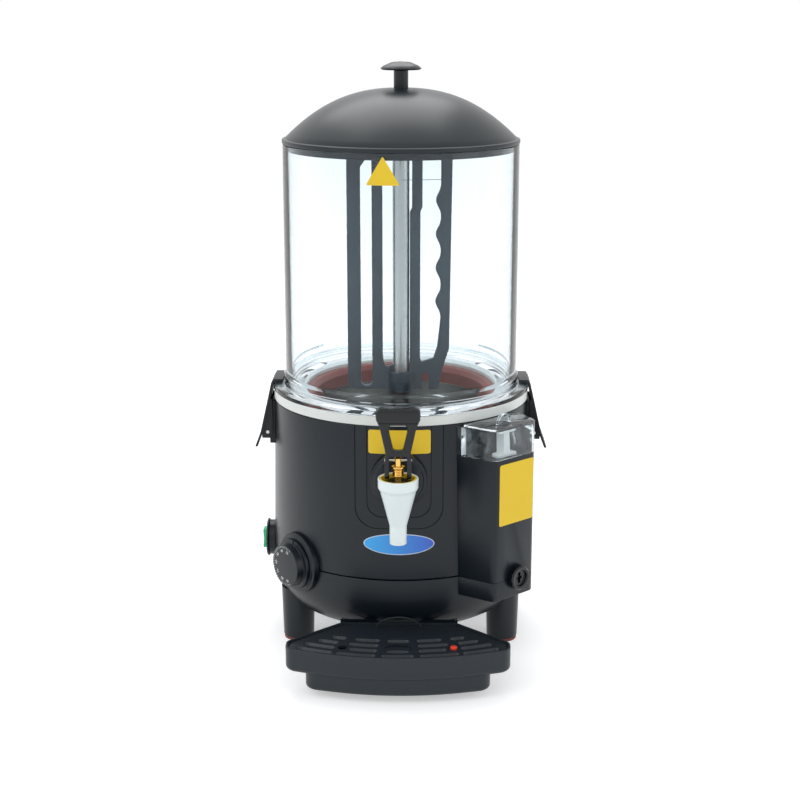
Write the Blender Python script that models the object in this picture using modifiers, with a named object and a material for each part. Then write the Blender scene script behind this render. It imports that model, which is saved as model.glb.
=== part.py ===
"""Hot chocolate dispenser: a clear ten litre bowl over a heated pan and water bath.

The machine stands on four feet with its front towards -Y. A gear motor under the water
bath turns a flat agitator through a fixed centre tube. A lever tap pours over a drip tray.
Every piece hangs from an empty on the machine's upright axis. A station is an empty on
that axis, turned so that its own -Y points out through the wall at one place.
"""
import math

import bmesh
import bpy
from mathutils import Vector

# General fits and mesh steps
gap = 0.0003
overrun = 0.004
turned_steps = 36
round_steps = 16
small_steps = 8
corner_steps = 3
weld_distance = 0.00001

# Body shell
body_top_z = 0.2464
seam_z = 0.0930
body_base_z = 0.0300
body_top_radius = 0.1285
body_draft = 0.0030
body_seam_radius = body_top_radius + body_draft
shell_wall = 0.0030
body_edge_round = 0.0015
ledge_width = 0.0195
ledge_inner_radius = body_top_radius - ledge_width
base_round_radius = 0.0420
base_lip_setback = 0.0515
base_lip_inner_radius = body_seam_radius - base_lip_setback
base_round_steps = 4

# Stepped front panel
panel_step_depth = 0.0008
panel_inner_half_width = 0.0310
panel_inner_bottom_z = 0.1563
panel_inner_corner = 0.0140
panel_outer_half_width = 0.0425
panel_outer_bottom_z = 0.1450
panel_outer_corner = 0.0200

# Base plate and its screws
plate_thickness = 0.0015
plate_edge_clearance = 0.0010
base_screw_count = 2
base_screw_circle = 0.0850
screw_turn_share = 0.5
screw_shank_radius = 0.0016
screw_hole_clearance = 0.0004
screw_head_radius = 0.0035
screw_head_height = 0.0022
screw_length = 0.0065

# Feet
foot_side_inset = 0.0270
foot_x = body_seam_radius - foot_side_inset
foot_y = 0.0470
foot_top_radius = 0.0170
foot_bottom_radius = 0.0155
foot_top_z = 0.0560
pad_height = 0.0030
pad_radius = 0.0145

# Bowl, its white ring and its gasket
bowl_wall = 0.0032
bowl_top_z = 0.5006
bowl_setback = 0.0115
bowl_foot_radius = body_top_radius - bowl_setback
bowl_draft = 0.0005
bowl_top_radius = bowl_foot_radius - bowl_draft
bead_proud = 0.0034
bead_radius = bowl_foot_radius + bead_proud
bead_top_z = 0.2758
bead_height = 0.0052
neck_proud = 0.0013
neck_radius = bowl_foot_radius + neck_proud
flange_setback = 0.0003
flange_radius = body_top_radius - flange_setback
flange_top_z = 0.2613
flange_height = 0.0049
ring_setback = 0.0004
ring_radius = body_top_radius - ring_setback
ring_width = 0.0099
ring_inner_radius = ring_radius - ring_width
gasket_width = 0.0285
gasket_inner_radius = bowl_foot_radius - gasket_width
gasket_skirt_height = 0.0150
gasket_lip_setback = 0.0090
gasket_lip_radius = bowl_foot_radius - gasket_lip_setback
gasket_shoulder_drop = 0.0050

# Heating pan, water tank and centre tube
sheet_wall = 0.0012
pan_setback = 0.0250
pan_inner_radius = bowl_foot_radius - pan_setback
pan_floor_z = 0.1860
pan_flange_radius = ring_inner_radius - gap
tank_jacket = 0.0120
tank_radius = pan_inner_radius + tank_jacket
tank_floor_z = 0.1500
tank_flange_setback = 0.0105
tank_flange_radius = body_top_radius - tank_flange_setback
centre_tube_radius = 0.0085
centre_tube_wall = 0.0015
centre_tube_top_z = 0.5030
centre_tube_tail = 0.0080
centre_collar_radius = 0.0120
centre_collar_height = 0.0040
heater_inner_radius = 0.0450
heater_outer_radius = 0.0700
heater_height = 0.0060
sensor_offset = 0.0270
sensor_radius = 0.0085
sensor_height = 0.0080

# Gear motor and drive
motor_radius = 0.0280
motor_height = 0.0440
gearbox_radius = 0.0340
gearbox_height = 0.0260
motor_seat_z = 0.0620
bracket_radius = 0.0400
bracket_thickness = 0.0020
bracket_post_radius = 0.0040
bracket_post_circle = 0.0320
bracket_post_count = 3
post_turn_share = 0.25
shaft_radius = 0.0035
shaft_bore_clearance = 0.0004
shaft_socket_depth = 0.0100
cap_radius = 0.0130
cap_height = 0.0130
cap_socket_depth = 0.0045

# Agitator blade, in its own plane with x across and z up
blade_thickness = 0.0050
blade_left = 0.0560
blade_right = 0.0485
blade_bottom_z = 0.2480
blade_top_z = 0.4980
blade_corner = 0.0070
hub_radius = 0.0125
hub_height = 0.0200
hub_clearance = 0.0006
hub_proud = 0.0006
slot_left = 0.0424
slot_right = 0.0308
slot_bottom_z = 0.2560
slot_top_z = 0.4820
window_left = 0.0203
window_right = 0.0102
window_step = 0.0022
window_step_z = 0.4365
window_bottom_z = 0.2750
window_top_z = 0.4860
wave_window_top_z = 0.4845
wave_window_left = 0.0190
wave_window_right = 0.0385
wave_depth = 0.0050
wave_first_z = 0.3457
wave_pitch = 0.0340
wave_count = 4
wave_points = 6
wave_window_bottom_z = 0.2790
vent_slot_x = 0.0265
vent_slot_width = 0.0060
vent_slot_bottom_z = 0.2530
vent_slot_top_z = 0.2680
slot_round_share = 0.98

# Lid and knob
lid_overhang = 0.0005
lid_rim_radius = bowl_top_radius + lid_overhang
lid_rim_height = 0.0050
lid_rim_lip = 0.0040
lid_rim_round = 0.0014
lid_wall = 0.0020
lid_apex_z = 0.5524
lid_dome_drop = 0.0482
lid_dome_power = 2.4
lid_dome_steps = 6
lid_lining_steps = 3
lid_skirt_height = 0.0056
lid_skirt_clearance = 0.0005
knob_disc_radius = 0.0202
knob_disc_height = 0.0078
knob_crown_drop = 0.0010
knob_shoulder_radius = 0.0172
knob_shoulder_drop = 0.0026
knob_edge_height = 0.0020
knob_stem_radius = 0.0071
knob_foot_radius = 0.0095
knob_foot_height = 0.0025
knob_flare_height = 0.0050
knob_height = 0.0262
knob_screw_radius = 0.0022
knob_screw_head_radius = 0.0045
knob_screw_head_height = 0.0030
knob_screw_reach = 0.0140

# Side latches, in a plane with outward distance and height
latch_half_width = 0.0200
latch_plate = 0.0026
latch_pivot_stand_off = 0.0069
latch_pivot_reach = body_top_radius + latch_pivot_stand_off
latch_pivot_z = 0.2105
latch_hook_overlap = 0.0090
latch_hook_reach = flange_radius - latch_hook_overlap
latch_hook_drop = 0.0043
latch_shoulder_proud = 0.0028
latch_shoulder_reach = flange_radius + latch_shoulder_proud
latch_elbow_proud = 0.0072
latch_elbow_reach = latch_pivot_reach + latch_elbow_proud
latch_elbow_z = 0.2110
latch_tip_flare = 0.0060
latch_tip_z = 0.1950
latch_cheek = 0.0026
latch_cheek_inset = 0.0004
latch_cheek_back = 0.0052
latch_cheek_drop = 0.0064
latch_cheek_top_z = 0.2445
latch_cheek_corner = 0.0007
latch_pin_radius = 0.0018
latch_pin_clearance = 0.0003
bracket_plate_proud = 0.0020
bracket_plate_bottom_z = 0.1980
bracket_plate_top_z = 0.2420
bracket_ear_proud = 0.0031
bracket_ear_reach = latch_pivot_reach + bracket_ear_proud
bracket_ear_half_height = 0.0050
bracket_side_clearance = 0.0006

# Tap
outlet_z = 0.1950
outlet_radius = 0.0090
outlet_bore_radius = 0.0065
outlet_clearance = 0.0003
outlet_setback = 0.0020
outlet_inner_reach = pan_inner_radius - outlet_setback
boss_radius = 0.0270
boss_proud = 0.0095
boss_reach = body_top_radius + boss_proud
tap_stand_off = 0.0310
tap_reach = boss_reach + tap_stand_off
spout_rim_radius = 0.0189
spout_rim_top_z = 0.2070
spout_rim_bottom_z = 0.1969
spout_lip_radius = 0.0169
spout_neck_z = 0.1623
spout_tube_radius = 0.0080
spout_tip_z = 0.1447
spout_wall = 0.0018
spout_inlet_radius = 0.0105
bonnet_thickness = 0.0060
bonnet_collar_height = 0.0025
bonnet_collar_radius = 0.0130
band_inner_radius = 0.0160
band_height = 0.0065
stem_radius = 0.0034
stem_clearance = 0.0004
stem_top_z = 0.2292
stem_chamfer = 0.0016
stem_room_clearance = 0.0010
stem_collar_z = 0.2185
stem_collar_height = 0.0015
stem_collar_radius = 0.0062
plunger_radius = 0.0075
plunger_height = 0.0060
plunger_taper_height = 0.0020
plunger_grip = 0.0040
plunger_clearance = 0.0008
pin_z = 0.2258
pin_radius = 0.0016
pin_clearance = 0.0003
spring_wire_radius = 0.0006
spring_mean_radius = 0.0050
spring_turns = 9
spring_points_per_turn = 10
handle_top_z = 0.2730
handle_bar_bottom_z = 0.2592
handle_half_width = 0.0196
handle_shoulder_z = 0.2600
handle_waist_half_width = 0.0125
handle_waist_z = 0.2300
handle_bridge_bottom_z = 0.2215
handle_bottom_z = 0.2098
handle_thickness = 0.0090
handle_rail = 0.0045
cheek_inner = 0.0082
handle_corner = 0.0050

# Dial on the left front
dial_azimuth_deg = -50.0
dial_z = 0.0940
dial_base_radius = 0.0300
dial_base_proud = 0.0051
dial_base_reach = body_seam_radius + dial_base_proud
dial_skirt_radius = 0.0250
dial_skirt_height = 0.0030
dial_grip_radius = 0.0205
dial_height = 0.0111
dial_shaft_radius = 0.0030
dial_shaft_clearance = 0.0004
dial_socket_depth = 0.0070
dial_edge_round = 0.0012
regulator_width = 0.0300
regulator_height = 0.0300
regulator_setback = 0.0095
regulator_outer_reach = body_seam_radius - regulator_setback
regulator_depth = 0.0220
regulator_inner_reach = regulator_outer_reach - regulator_depth

# Power switch on the left side
switch_azimuth_deg = -90.0
switch_z = 0.0910
collar_radius = 0.0200
collar_proud = 0.0080
collar_reach = body_seam_radius + collar_proud
collar_window_height = 0.0240
rocker_width = 0.0120
rocker_height = 0.0200
rocker_sink = 0.0065
rocker_depth = 0.0092
rocker_crown = 0.0016
rocker_heel = 0.0018
rocker_seat_half_height = 0.0033
boot_radius = 0.0165
boot_height = 0.0056
boot_wall = 0.0008
boot_crown = 0.0025

# Water fill box on the right front
box_azimuth_deg = 42.5
box_proud = 0.0335
box_reach = body_seam_radius + box_proud
box_outer_half_width = 0.0273
box_inner_half_width = 0.0405
box_overlap = 0.0165
box_inner_reach = body_seam_radius - box_overlap
box_corner = 0.0070
box_wall = 0.0030
box_base_z = 0.0740
box_top_z = 0.2150
chamber_wall = 0.0020
chamber_top_z = 0.2440
chamber_back_clearance = 0.0015
chamber_back_reach = body_top_radius + chamber_back_clearance
fill_lid_thickness = 0.0022
fill_lid_clearance = 0.0006
fill_tab_radius = 0.0090
fill_tab_width = 0.0030
fill_tab_thickness = 0.0014
fill_tab_place_share = 0.5
water_hole_radius = 0.0060
water_hole_setback = 0.0150
water_hole_reach = box_reach - water_hole_setback
float_setback = 0.0170
float_reach = box_reach - float_setback
float_plate_half_width = 0.0115
float_plate_half_depth = 0.0060
float_plate_thickness = 0.0025
float_plate_corner = 0.0020
float_stem_half = 0.0040
float_height = 0.0225
pipe_radius = 0.0060
pipe_wall = 0.0015
pipe_z = 0.1620
drain_offset = 0.0040
drain_head_radius = 0.0120
drain_head_height = 0.0060
drain_head_round = 0.0012
drain_shank_radius = 0.0085
drain_shank_length = 0.0070
drain_slot_length = 0.0120
drain_slot_width = 0.0032
drain_slot_depth = 0.0035
drain_clearance = 0.0003

# Cable gland at the back
gland_z = 0.0800
gland_radius = 0.0080
gland_nut_radius = 0.0108
gland_nut_height = 0.0050
gland_bore_radius = 0.0040
gland_proud = 0.0123
gland_reach = body_seam_radius + gland_proud
gland_tail_length = 0.0135
gland_tail_reach = body_seam_radius - gland_tail_length

# Drip tray, its grid and its level float
tray_proud = 0.0823
tray_front_reach = body_seam_radius + tray_proud
tray_front_radius = 0.2480
tray_shoulder_x = 0.1060
tray_shoulder_setback = 0.0398
tray_shoulder_reach = tray_front_reach - tray_shoulder_setback
tray_corner_x = 0.1020
tray_corner_round = 0.0120
tray_back_half_width = 0.0560
tray_back_setback = 0.0053
tray_back_reach = body_seam_radius - tray_back_setback
tray_top_z = 0.0480
tray_floor_z = 0.0245
tray_step_z = 0.0075
tray_wall = 0.0025
tray_rim_round = 0.0050
tray_step_inset = 0.0035
tray_step_half_width = 0.0870
tray_step_shoulder_setback = 0.0438
tray_step_shoulder_reach = tray_front_reach - tray_step_shoulder_setback
tray_step_depth = 0.0738
tray_step_back_reach = tray_front_reach - tray_step_depth
tray_front_steps = 10
grid_drop = 0.0020
grid_thickness = 0.0025
grid_clearance = 0.0006
grid_rib_width = 0.0020
slot_depth = 0.0062
slot_first_inset = 0.0095
slot_pitch = 0.0118
slot_rows = 4
slot_arc_steps = 2
slot_centre_half = 0.0130
slot_mid_inner = 0.0180
slot_mid_outer = 0.0460
slot_outer_inner = 0.0590
slot_outer_first = 0.0935
slot_outer_shrink = 0.0095
grid_hole_radius = 0.0045
grid_hole_x = 0.0525
grid_hole_setback = 0.0298
grid_hole_reach = tray_front_reach - grid_hole_setback
tray_float_radius = 0.0034
tray_float_base_radius = 0.0100
tray_float_base_height = 0.0120
tray_float_proud = 0.0020
arm_inner_x = 0.0240
arm_outer_x = 0.0360
arm_thickness = 0.0030
arm_end_reach = 0.0620
notch_clearance = 0.0010
notch_half_width = tray_back_half_width + notch_clearance
notch_top_z = 0.0450
rail_thickness = 0.0012
rail_half_width = 0.0420
rail_front_reach = 0.0800
rail_back_reach = 0.0500

face_out = (math.radians(90.0), 0.0, 0.0)
side_on = (math.radians(90.0), 0.0, math.radians(-90.0))
upright = (0.0, 0.0, 0.0)


def start_scene():
    for item in list(bpy.data.objects):
        bpy.data.objects.remove(item, do_unlink=True)
    for name in ("hot_chocolate_dispenser", "cutters"):
        group = bpy.data.collections.new(name)
        bpy.context.scene.collection.children.link(group)


def link(item, name="hot_chocolate_dispenser"):
    bpy.data.collections[name].objects.link(item)


def material(name, colour, roughness, metallic=0.0, alpha=1.0):
    paint = bpy.data.materials.new(name)
    paint.use_nodes = True
    shader = paint.node_tree.nodes["Principled BSDF"]
    shader.inputs["Base Color"].default_value = (*colour, 1.0)
    shader.inputs["Roughness"].default_value = roughness
    shader.inputs["Metallic"].default_value = metallic
    shader.inputs["Alpha"].default_value = alpha
    return paint


def station(name, azimuth_deg):
    """An empty on the machine's axis whose -Y points out at the azimuth from the front."""
    stand = bpy.data.objects.new(name, None)
    bpy.context.scene.collection.objects.link(stand)
    stand.location = (0.0, (tray_front_reach - gland_reach) / 2, 0.0)
    stand.rotation_euler = (0.0, 0.0, math.radians(azimuth_deg))
    return stand


def settle(item, stand, location, rotation, paint):
    item.parent = stand
    item.location = location
    item.rotation_euler = rotation
    if paint is not None and not item.data.materials:
        item.data.materials.append(paint)
    return item


def turned(name, profile, stand, paint, location=upright, rotation=upright, steps=turned_steps):
    """A solid of revolution: (radius, height) points, down the outer side and up the inner."""
    on_axis = profile[0][0] == 0.0
    mesh = bpy.data.meshes.new(name)
    count = len(profile)
    edges = [(k, k + 1) for k in range(count - 1)]
    if not on_axis:
        edges.append((count - 1, 0))
    mesh.from_pydata([(radius, 0.0, height) for radius, height in profile], edges, [])
    item = bpy.data.objects.new(name, mesh)
    link(item)
    screw = item.modifiers.new("turn", "SCREW")
    screw.steps = steps
    screw.render_steps = steps
    screw.use_merge_vertices = True
    screw.merge_threshold = weld_distance
    screw.use_smooth_shade = True
    settle(item, stand, location, rotation, paint)
    return item


def rod(name, radius, low, high, stand, paint, location=upright, rotation=upright, steps=round_steps):
    profile = [(0.0, high), (radius, high), (radius, low), (0.0, low)]
    return turned(name, profile, stand, paint, location, rotation, steps)


def tube(name, radius, bore, low, high, stand, paint, location=upright, rotation=upright,
         steps=round_steps):
    profile = [(radius, high), (radius, low), (bore, low), (bore, high)]
    return turned(name, profile, stand, paint, location, rotation, steps)


def rounded(corners, steps=corner_steps):
    """Outline points of a polygon whose corners (x, y, radius) are rounded off."""
    outline = []
    count = len(corners)
    for k, (x, y, radius) in enumerate(corners):
        here = Vector((x, y))
        if radius == 0.0:
            outline.append((x, y))
            continue
        before = (Vector(corners[k - 1][:2]) - here).normalized()
        after = (Vector(corners[(k + 1) % count][:2]) - here).normalized()
        half = before.angle(after) / 2
        reach = radius / math.tan(half)
        middle = here + (before + after).normalized() * (radius / math.sin(half))
        first = here + before * reach - middle
        turn = (here + after * reach - middle).angle_signed(first)
        for step in range(steps + 1):
            angle = turn * step / steps
            cosine, sine = math.cos(angle), math.sin(angle)
            outline.append((middle.x + first.x * cosine - first.y * sine,
                            middle.y + first.x * sine + first.y * cosine))
    return outline


def rectangle(left, right, bottom, top, radius=0.0):
    corners = [(left, bottom, radius), (right, bottom, radius),
               (right, top, radius), (left, top, radius)]
    return rounded(corners)


def circle(x, y, radius, steps=small_steps):
    turns = [2 * math.pi * k / steps for k in range(steps)]
    return [(x + radius * math.cos(turn), y + radius * math.sin(turn)) for turn in turns]


def prism(name, outlines, low, high, stand, paint, location=upright, rotation=upright):
    """A flat outline, with any holes in it, made solid between two heights of its own Z."""
    curve = bpy.data.curves.new(name, "CURVE")
    curve.dimensions = "2D"
    curve.fill_mode = "BOTH"
    curve.extrude = (high - low) / 2
    for outline in outlines:
        spline = curve.splines.new("POLY")
        spline.points.add(len(outline) - 1)
        for point, (x, y) in zip(spline.points, outline):
            point.co = (x, y, 0.0, 1.0)
        spline.use_cyclic_u = True
    guide = bpy.data.objects.new(name + "_outline", curve)
    link(guide)
    bpy.context.view_layer.update()
    mesh = bpy.data.meshes.new_from_object(guide.evaluated_get(bpy.context.evaluated_depsgraph_get()))
    solid = bmesh.new()
    solid.from_mesh(mesh)
    bmesh.ops.remove_doubles(solid, verts=solid.verts, dist=weld_distance)
    bmesh.ops.translate(solid, verts=solid.verts, vec=(0.0, 0.0, (high + low) / 2))
    bmesh.ops.recalc_face_normals(solid, faces=solid.faces)
    solid.to_mesh(mesh)
    solid.free()
    mesh.name = name
    item = bpy.data.objects.new(name, mesh)
    link(item)
    bpy.data.objects.remove(guide, do_unlink=True)
    return settle(item, stand, location, rotation, paint)


def block(name, x_low, x_high, y_low, y_high, z_low, z_high, stand, paint, location=upright):
    outline = rectangle(x_low, x_high, y_low, y_high)
    return prism(name, [outline], z_low, z_high, stand, paint, location)


def round_rim(item, height, radius, steps=corner_steps):
    """Round off the edge all round a prism's flat face at one height of its own Z."""
    solid = bmesh.new()
    solid.from_mesh(item.data)
    rim = []
    for edge in solid.edges:
        level = all(abs(vert.co.z - height) < weld_distance for vert in edge.verts)
        if level and len(edge.link_faces) == 2 and edge.calc_face_angle() > math.radians(60.0):
            rim.append(edge)
    bmesh.ops.bevel(solid, geom=rim, offset=radius, segments=steps, profile=0.5, affect="EDGES")
    solid.to_mesh(item.data)
    solid.free()
    return item


def combine(item, tool, operation):
    bool_step = item.modifiers.new(operation.lower(), "BOOLEAN")
    bool_step.operation = operation
    bool_step.solver = "EXACT"
    bool_step.object = tool
    for group in list(tool.users_collection):
        group.objects.unlink(tool)
    link(tool, "cutters")
    tool.hide_render = True
    tool.display_type = "WIRE"
    return item


def cut(item, *tools):
    for tool in tools:
        combine(item, tool, "DIFFERENCE")
    return item


def join(item, *tools):
    for tool in tools:
        combine(item, tool, "UNION")
    return item


def smooth(item, angle_deg=35.0):
    item.data.shade_smooth()
    item.data.set_sharp_from_angle(angle=math.radians(angle_deg))
    return item


def wall_radius(z):
    """Outer radius of the body shell above its rounded base."""
    slope = (body_seam_radius - body_top_radius) / (body_top_z - seam_z)
    return body_top_radius + (body_top_z - z) * slope


def base_arc(radius):
    """Quarter round under the body, from its side down to its flat base."""
    centre_radius = wall_radius(body_base_z + base_round_radius) - base_round_radius
    centre_z = body_base_z + base_round_radius
    turns = [math.pi / 2 * k / base_round_steps for k in range(base_round_steps + 1)]
    return [(centre_radius + radius * math.cos(turn), centre_z - radius * math.sin(turn))
            for turn in turns]


def flat_seat(radius, half_width):
    """Reach of a flat face of some half width that just clears a faceted wall's inside."""
    flat_radius = radius * math.cos(math.pi / turned_steps)
    return math.sqrt(flat_radius ** 2 - half_width ** 2) - gap


def envelope(name, stand, offset=0.0, top_z=flange_top_z + overrun):
    """The body's outer shape grown by an offset, for fitting what seats on its wall."""
    profile = [(0.0, top_z), (wall_radius(body_top_z) + offset, top_z),
               (wall_radius(body_top_z) + offset, body_top_z),
               (wall_radius(seam_z) + offset, seam_z)]
    profile += base_arc(base_round_radius + offset)
    profile.append((0.0, body_base_z - offset))
    return turned(name, profile, stand, None)


def tool_rod(name, radius, low, high, stand, location=upright, rotation=upright):
    return rod(name, radius, low, high, stand, None, location, rotation)


def around(count, radius, offset_share):
    turns = [2 * math.pi * (k + offset_share) / count for k in range(count)]
    return [(radius * math.cos(turn), radius * math.sin(turn)) for turn in turns]


def make_upper_housing(front, black):
    """Tall upper shell with its top ledge, stepped front panel and holes for what passes."""
    profile = [(ledge_inner_radius, body_top_z), (body_top_radius - body_edge_round, body_top_z),
               (body_top_radius, body_top_z - body_edge_round),
               (wall_radius(seam_z), seam_z + gap / 2),
               (wall_radius(seam_z) - shell_wall, seam_z + gap / 2),
               (body_top_radius - shell_wall, body_top_z - shell_wall),
               (ledge_inner_radius, body_top_z - shell_wall)]
    housing = turned("upper_housing", profile, front, black)
    panels = ((panel_outer_half_width, panel_outer_bottom_z, panel_outer_corner, panel_step_depth),
              (panel_inner_half_width, panel_inner_bottom_z, panel_inner_corner,
               panel_step_depth + panel_step_depth))
    for index, (half, bottom, corner, depth) in enumerate(panels):
        corners = [(-half, bottom, corner), (half, bottom, corner),
                   (half, body_top_z + overrun, 0.0), (-half, body_top_z + overrun, 0.0)]
        panel = prism(f"panel_cut_{index}", [rounded(corners)], body_top_radius / 2,
                      body_seam_radius + overrun, front, None, rotation=face_out)
        cut(panel, envelope(f"panel_floor_{index}", front, -depth))
        cut(housing, panel)
    return housing


def make_lower_housing(front, black):
    """Shallow lower shell with a rounded base and four moulded feet, notched for the tray."""
    profile = [(wall_radius(seam_z), seam_z - gap / 2)]
    profile += base_arc(base_round_radius)
    profile.append((base_lip_inner_radius, body_base_z))
    profile.append((base_lip_inner_radius, body_base_z + shell_wall))
    profile += list(reversed(base_arc(base_round_radius - shell_wall)))
    profile.append((wall_radius(seam_z) - shell_wall, seam_z - gap / 2))
    housing = turned("lower_housing", profile, front, black)
    inner_shell = envelope("feet_trim", front, -shell_wall / 2)
    for index, (x, y) in enumerate(foot_places()):
        shape = [(0.0, foot_top_z), (foot_top_radius, foot_top_z),
                 (foot_bottom_radius, pad_height + gap), (0.0, pad_height + gap)]
        foot = turned(f"foot_{index + 1}", shape, front, None, (x, y, 0.0), steps=round_steps)
        join(housing, cut(foot, inner_shell))
    notch = block("tray_notch", -notch_half_width, notch_half_width,
                  -body_seam_radius - overrun, overrun - rail_front_reach,
                  body_base_z - overrun, notch_top_z, front, None)
    cut(housing, notch)
    hole_radius = screw_shank_radius + screw_hole_clearance
    for index, (x, y) in enumerate(around(base_screw_count, base_screw_circle, screw_turn_share)):
        cut(housing, tool_rod(f"lip_hole_{index}", hole_radius, body_base_z - overrun,
                              body_base_z + shell_wall + overrun, front, (x, y, 0.0)))
    return housing


def foot_places():
    return [(sx * foot_x, sy * foot_y) for sx in (-1, 1) for sy in (-1, 1)]


def make_base(front, steel, rubber):
    """Base plate, the screws that hold it up in the lower shell and the feet's rubber pads."""
    low = body_base_z + shell_wall + gap
    centre_radius = wall_radius(body_base_z + base_round_radius) - base_round_radius
    plate = rod("bottom_plate", centre_radius + plate_edge_clearance, low, low + plate_thickness,
                front, steel, steps=turned_steps)
    spots = around(base_screw_count, base_screw_circle, screw_turn_share)
    hole_radius = screw_shank_radius + screw_hole_clearance
    for index, (x, y) in enumerate(spots):
        cut(plate, tool_rod(f"plate_hole_{index}", hole_radius, low - overrun,
                            low + plate_thickness + overrun, front, (x, y, 0.0)))
    head_top = body_base_z - gap
    for index, (x, y) in enumerate(spots):
        profile = [(0.0, head_top + screw_length), (screw_shank_radius, head_top + screw_length),
                   (screw_shank_radius, head_top), (screw_head_radius, head_top),
                   (screw_head_radius, head_top - screw_head_height),
                   (0.0, head_top - screw_head_height)]
        turned(f"base_screw_{index + 1}", profile, front, steel, (x, y, 0.0), steps=small_steps)
    for index, (x, y) in enumerate(foot_places()):
        rod(f"foot_pad_{index + 1}", pad_radius, 0.0, pad_height, front, rubber, (x, y, 0.0))


def make_bowl_seat(front, white, red):
    """White ring on the body and the red gasket that seals the bowl to the pan."""
    low = body_top_z + gap
    high = flange_top_z - flange_height - gap
    tube("rim_ring", ring_radius, ring_inner_radius, low, high, front, white, steps=turned_steps)
    pan_top = low + sheet_wall
    inner = pan_inner_radius - gap
    profile = [(gasket_lip_radius, high), (ring_inner_radius - gap, high),
               (ring_inner_radius - gap, pan_top + gap), (inner, pan_top + gap),
               (inner, pan_top - gasket_skirt_height),
               (gasket_inner_radius, pan_top - gasket_skirt_height),
               (gasket_inner_radius, high - gasket_shoulder_drop)]
    turned("bowl_gasket", profile, front, red)


def make_bowl(front, clear):
    """Clear cylinder with a bead, a neck and a flange that the latches hold down."""
    flange_bottom = flange_top_z - flange_height
    bead_bottom = bead_top_z - bead_height
    inner = bowl_top_radius - bowl_wall
    chamfer = bead_radius - bowl_foot_radius
    profile = [(inner, bowl_top_z), (bowl_top_radius, bowl_top_z),
               (bowl_foot_radius, bead_top_z + chamfer), (bead_radius, bead_top_z),
               (bead_radius, bead_bottom), (neck_radius, bead_bottom),
               (neck_radius, flange_top_z), (flange_radius, flange_top_z),
               (flange_radius, flange_bottom), (inner, flange_bottom)]
    turned("bowl", profile, front, clear)


def dome_z(radius, apex):
    return apex - lid_dome_drop * (radius / lid_rim_radius) ** lid_dome_power


def make_lid(front, black, steel):
    """Domed lid with a rim on the bowl's edge and a skirt inside it, and its knob."""
    rim_bottom = bowl_top_z + gap
    rim_top = rim_bottom + lid_rim_height
    skirt_radius = bowl_top_radius - bowl_wall - lid_skirt_clearance
    bore = knob_screw_radius + stem_clearance
    edge = lid_rim_radius - lid_rim_lip
    radii = [bore + (edge - bore) * k / lid_dome_steps for k in range(lid_dome_steps + 1)]
    outer = [(radius, dome_z(radius, lid_apex_z)) for radius in radii]
    inner_edge = skirt_radius - lid_wall
    radii = [bore + (inner_edge - bore) * k / lid_lining_steps for k in range(lid_lining_steps + 1)]
    inner = [(radius, dome_z(radius, lid_apex_z - lid_wall)) for radius in radii]
    profile = outer + [(lid_rim_radius - lid_rim_round, rim_top),
                       (lid_rim_radius, rim_top - lid_rim_round),
                       (lid_rim_radius, rim_bottom + lid_rim_round),
                       (lid_rim_radius - lid_rim_round, rim_bottom),
                       (skirt_radius, rim_bottom), (skirt_radius, rim_bottom - lid_skirt_height),
                       (inner_edge, rim_bottom - lid_skirt_height)]
    profile += list(reversed(inner))
    turned("lid", profile, front, black)
    low = lid_apex_z + gap
    high = low + knob_height
    disc_low = high - knob_disc_height
    socket_top = low + knob_screw_reach - lid_wall
    profile = [(0.0, high), (knob_disc_radius / 2, high - knob_crown_drop),
               (knob_shoulder_radius, high - knob_shoulder_drop),
               (knob_disc_radius, disc_low + knob_edge_height), (knob_disc_radius, disc_low),
               (knob_stem_radius, disc_low), (knob_stem_radius, low + knob_flare_height),
               (knob_foot_radius, low + knob_foot_height), (knob_foot_radius, low), (0.0, low)]
    knob = turned("lid_knob", profile, front, black, steps=round_steps)
    cut(knob, tool_rod("knob_bore", bore, low - overrun, socket_top, front))
    head_top = lid_apex_z - lid_wall - gap
    profile = [(0.0, socket_top - gap), (knob_screw_radius, socket_top - gap),
               (knob_screw_radius, head_top), (knob_screw_head_radius, head_top),
               (knob_screw_head_radius, head_top - knob_screw_head_height),
               (0.0, head_top - knob_screw_head_height)]
    turned("knob_screw", profile, front, steel, steps=small_steps)


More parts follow.
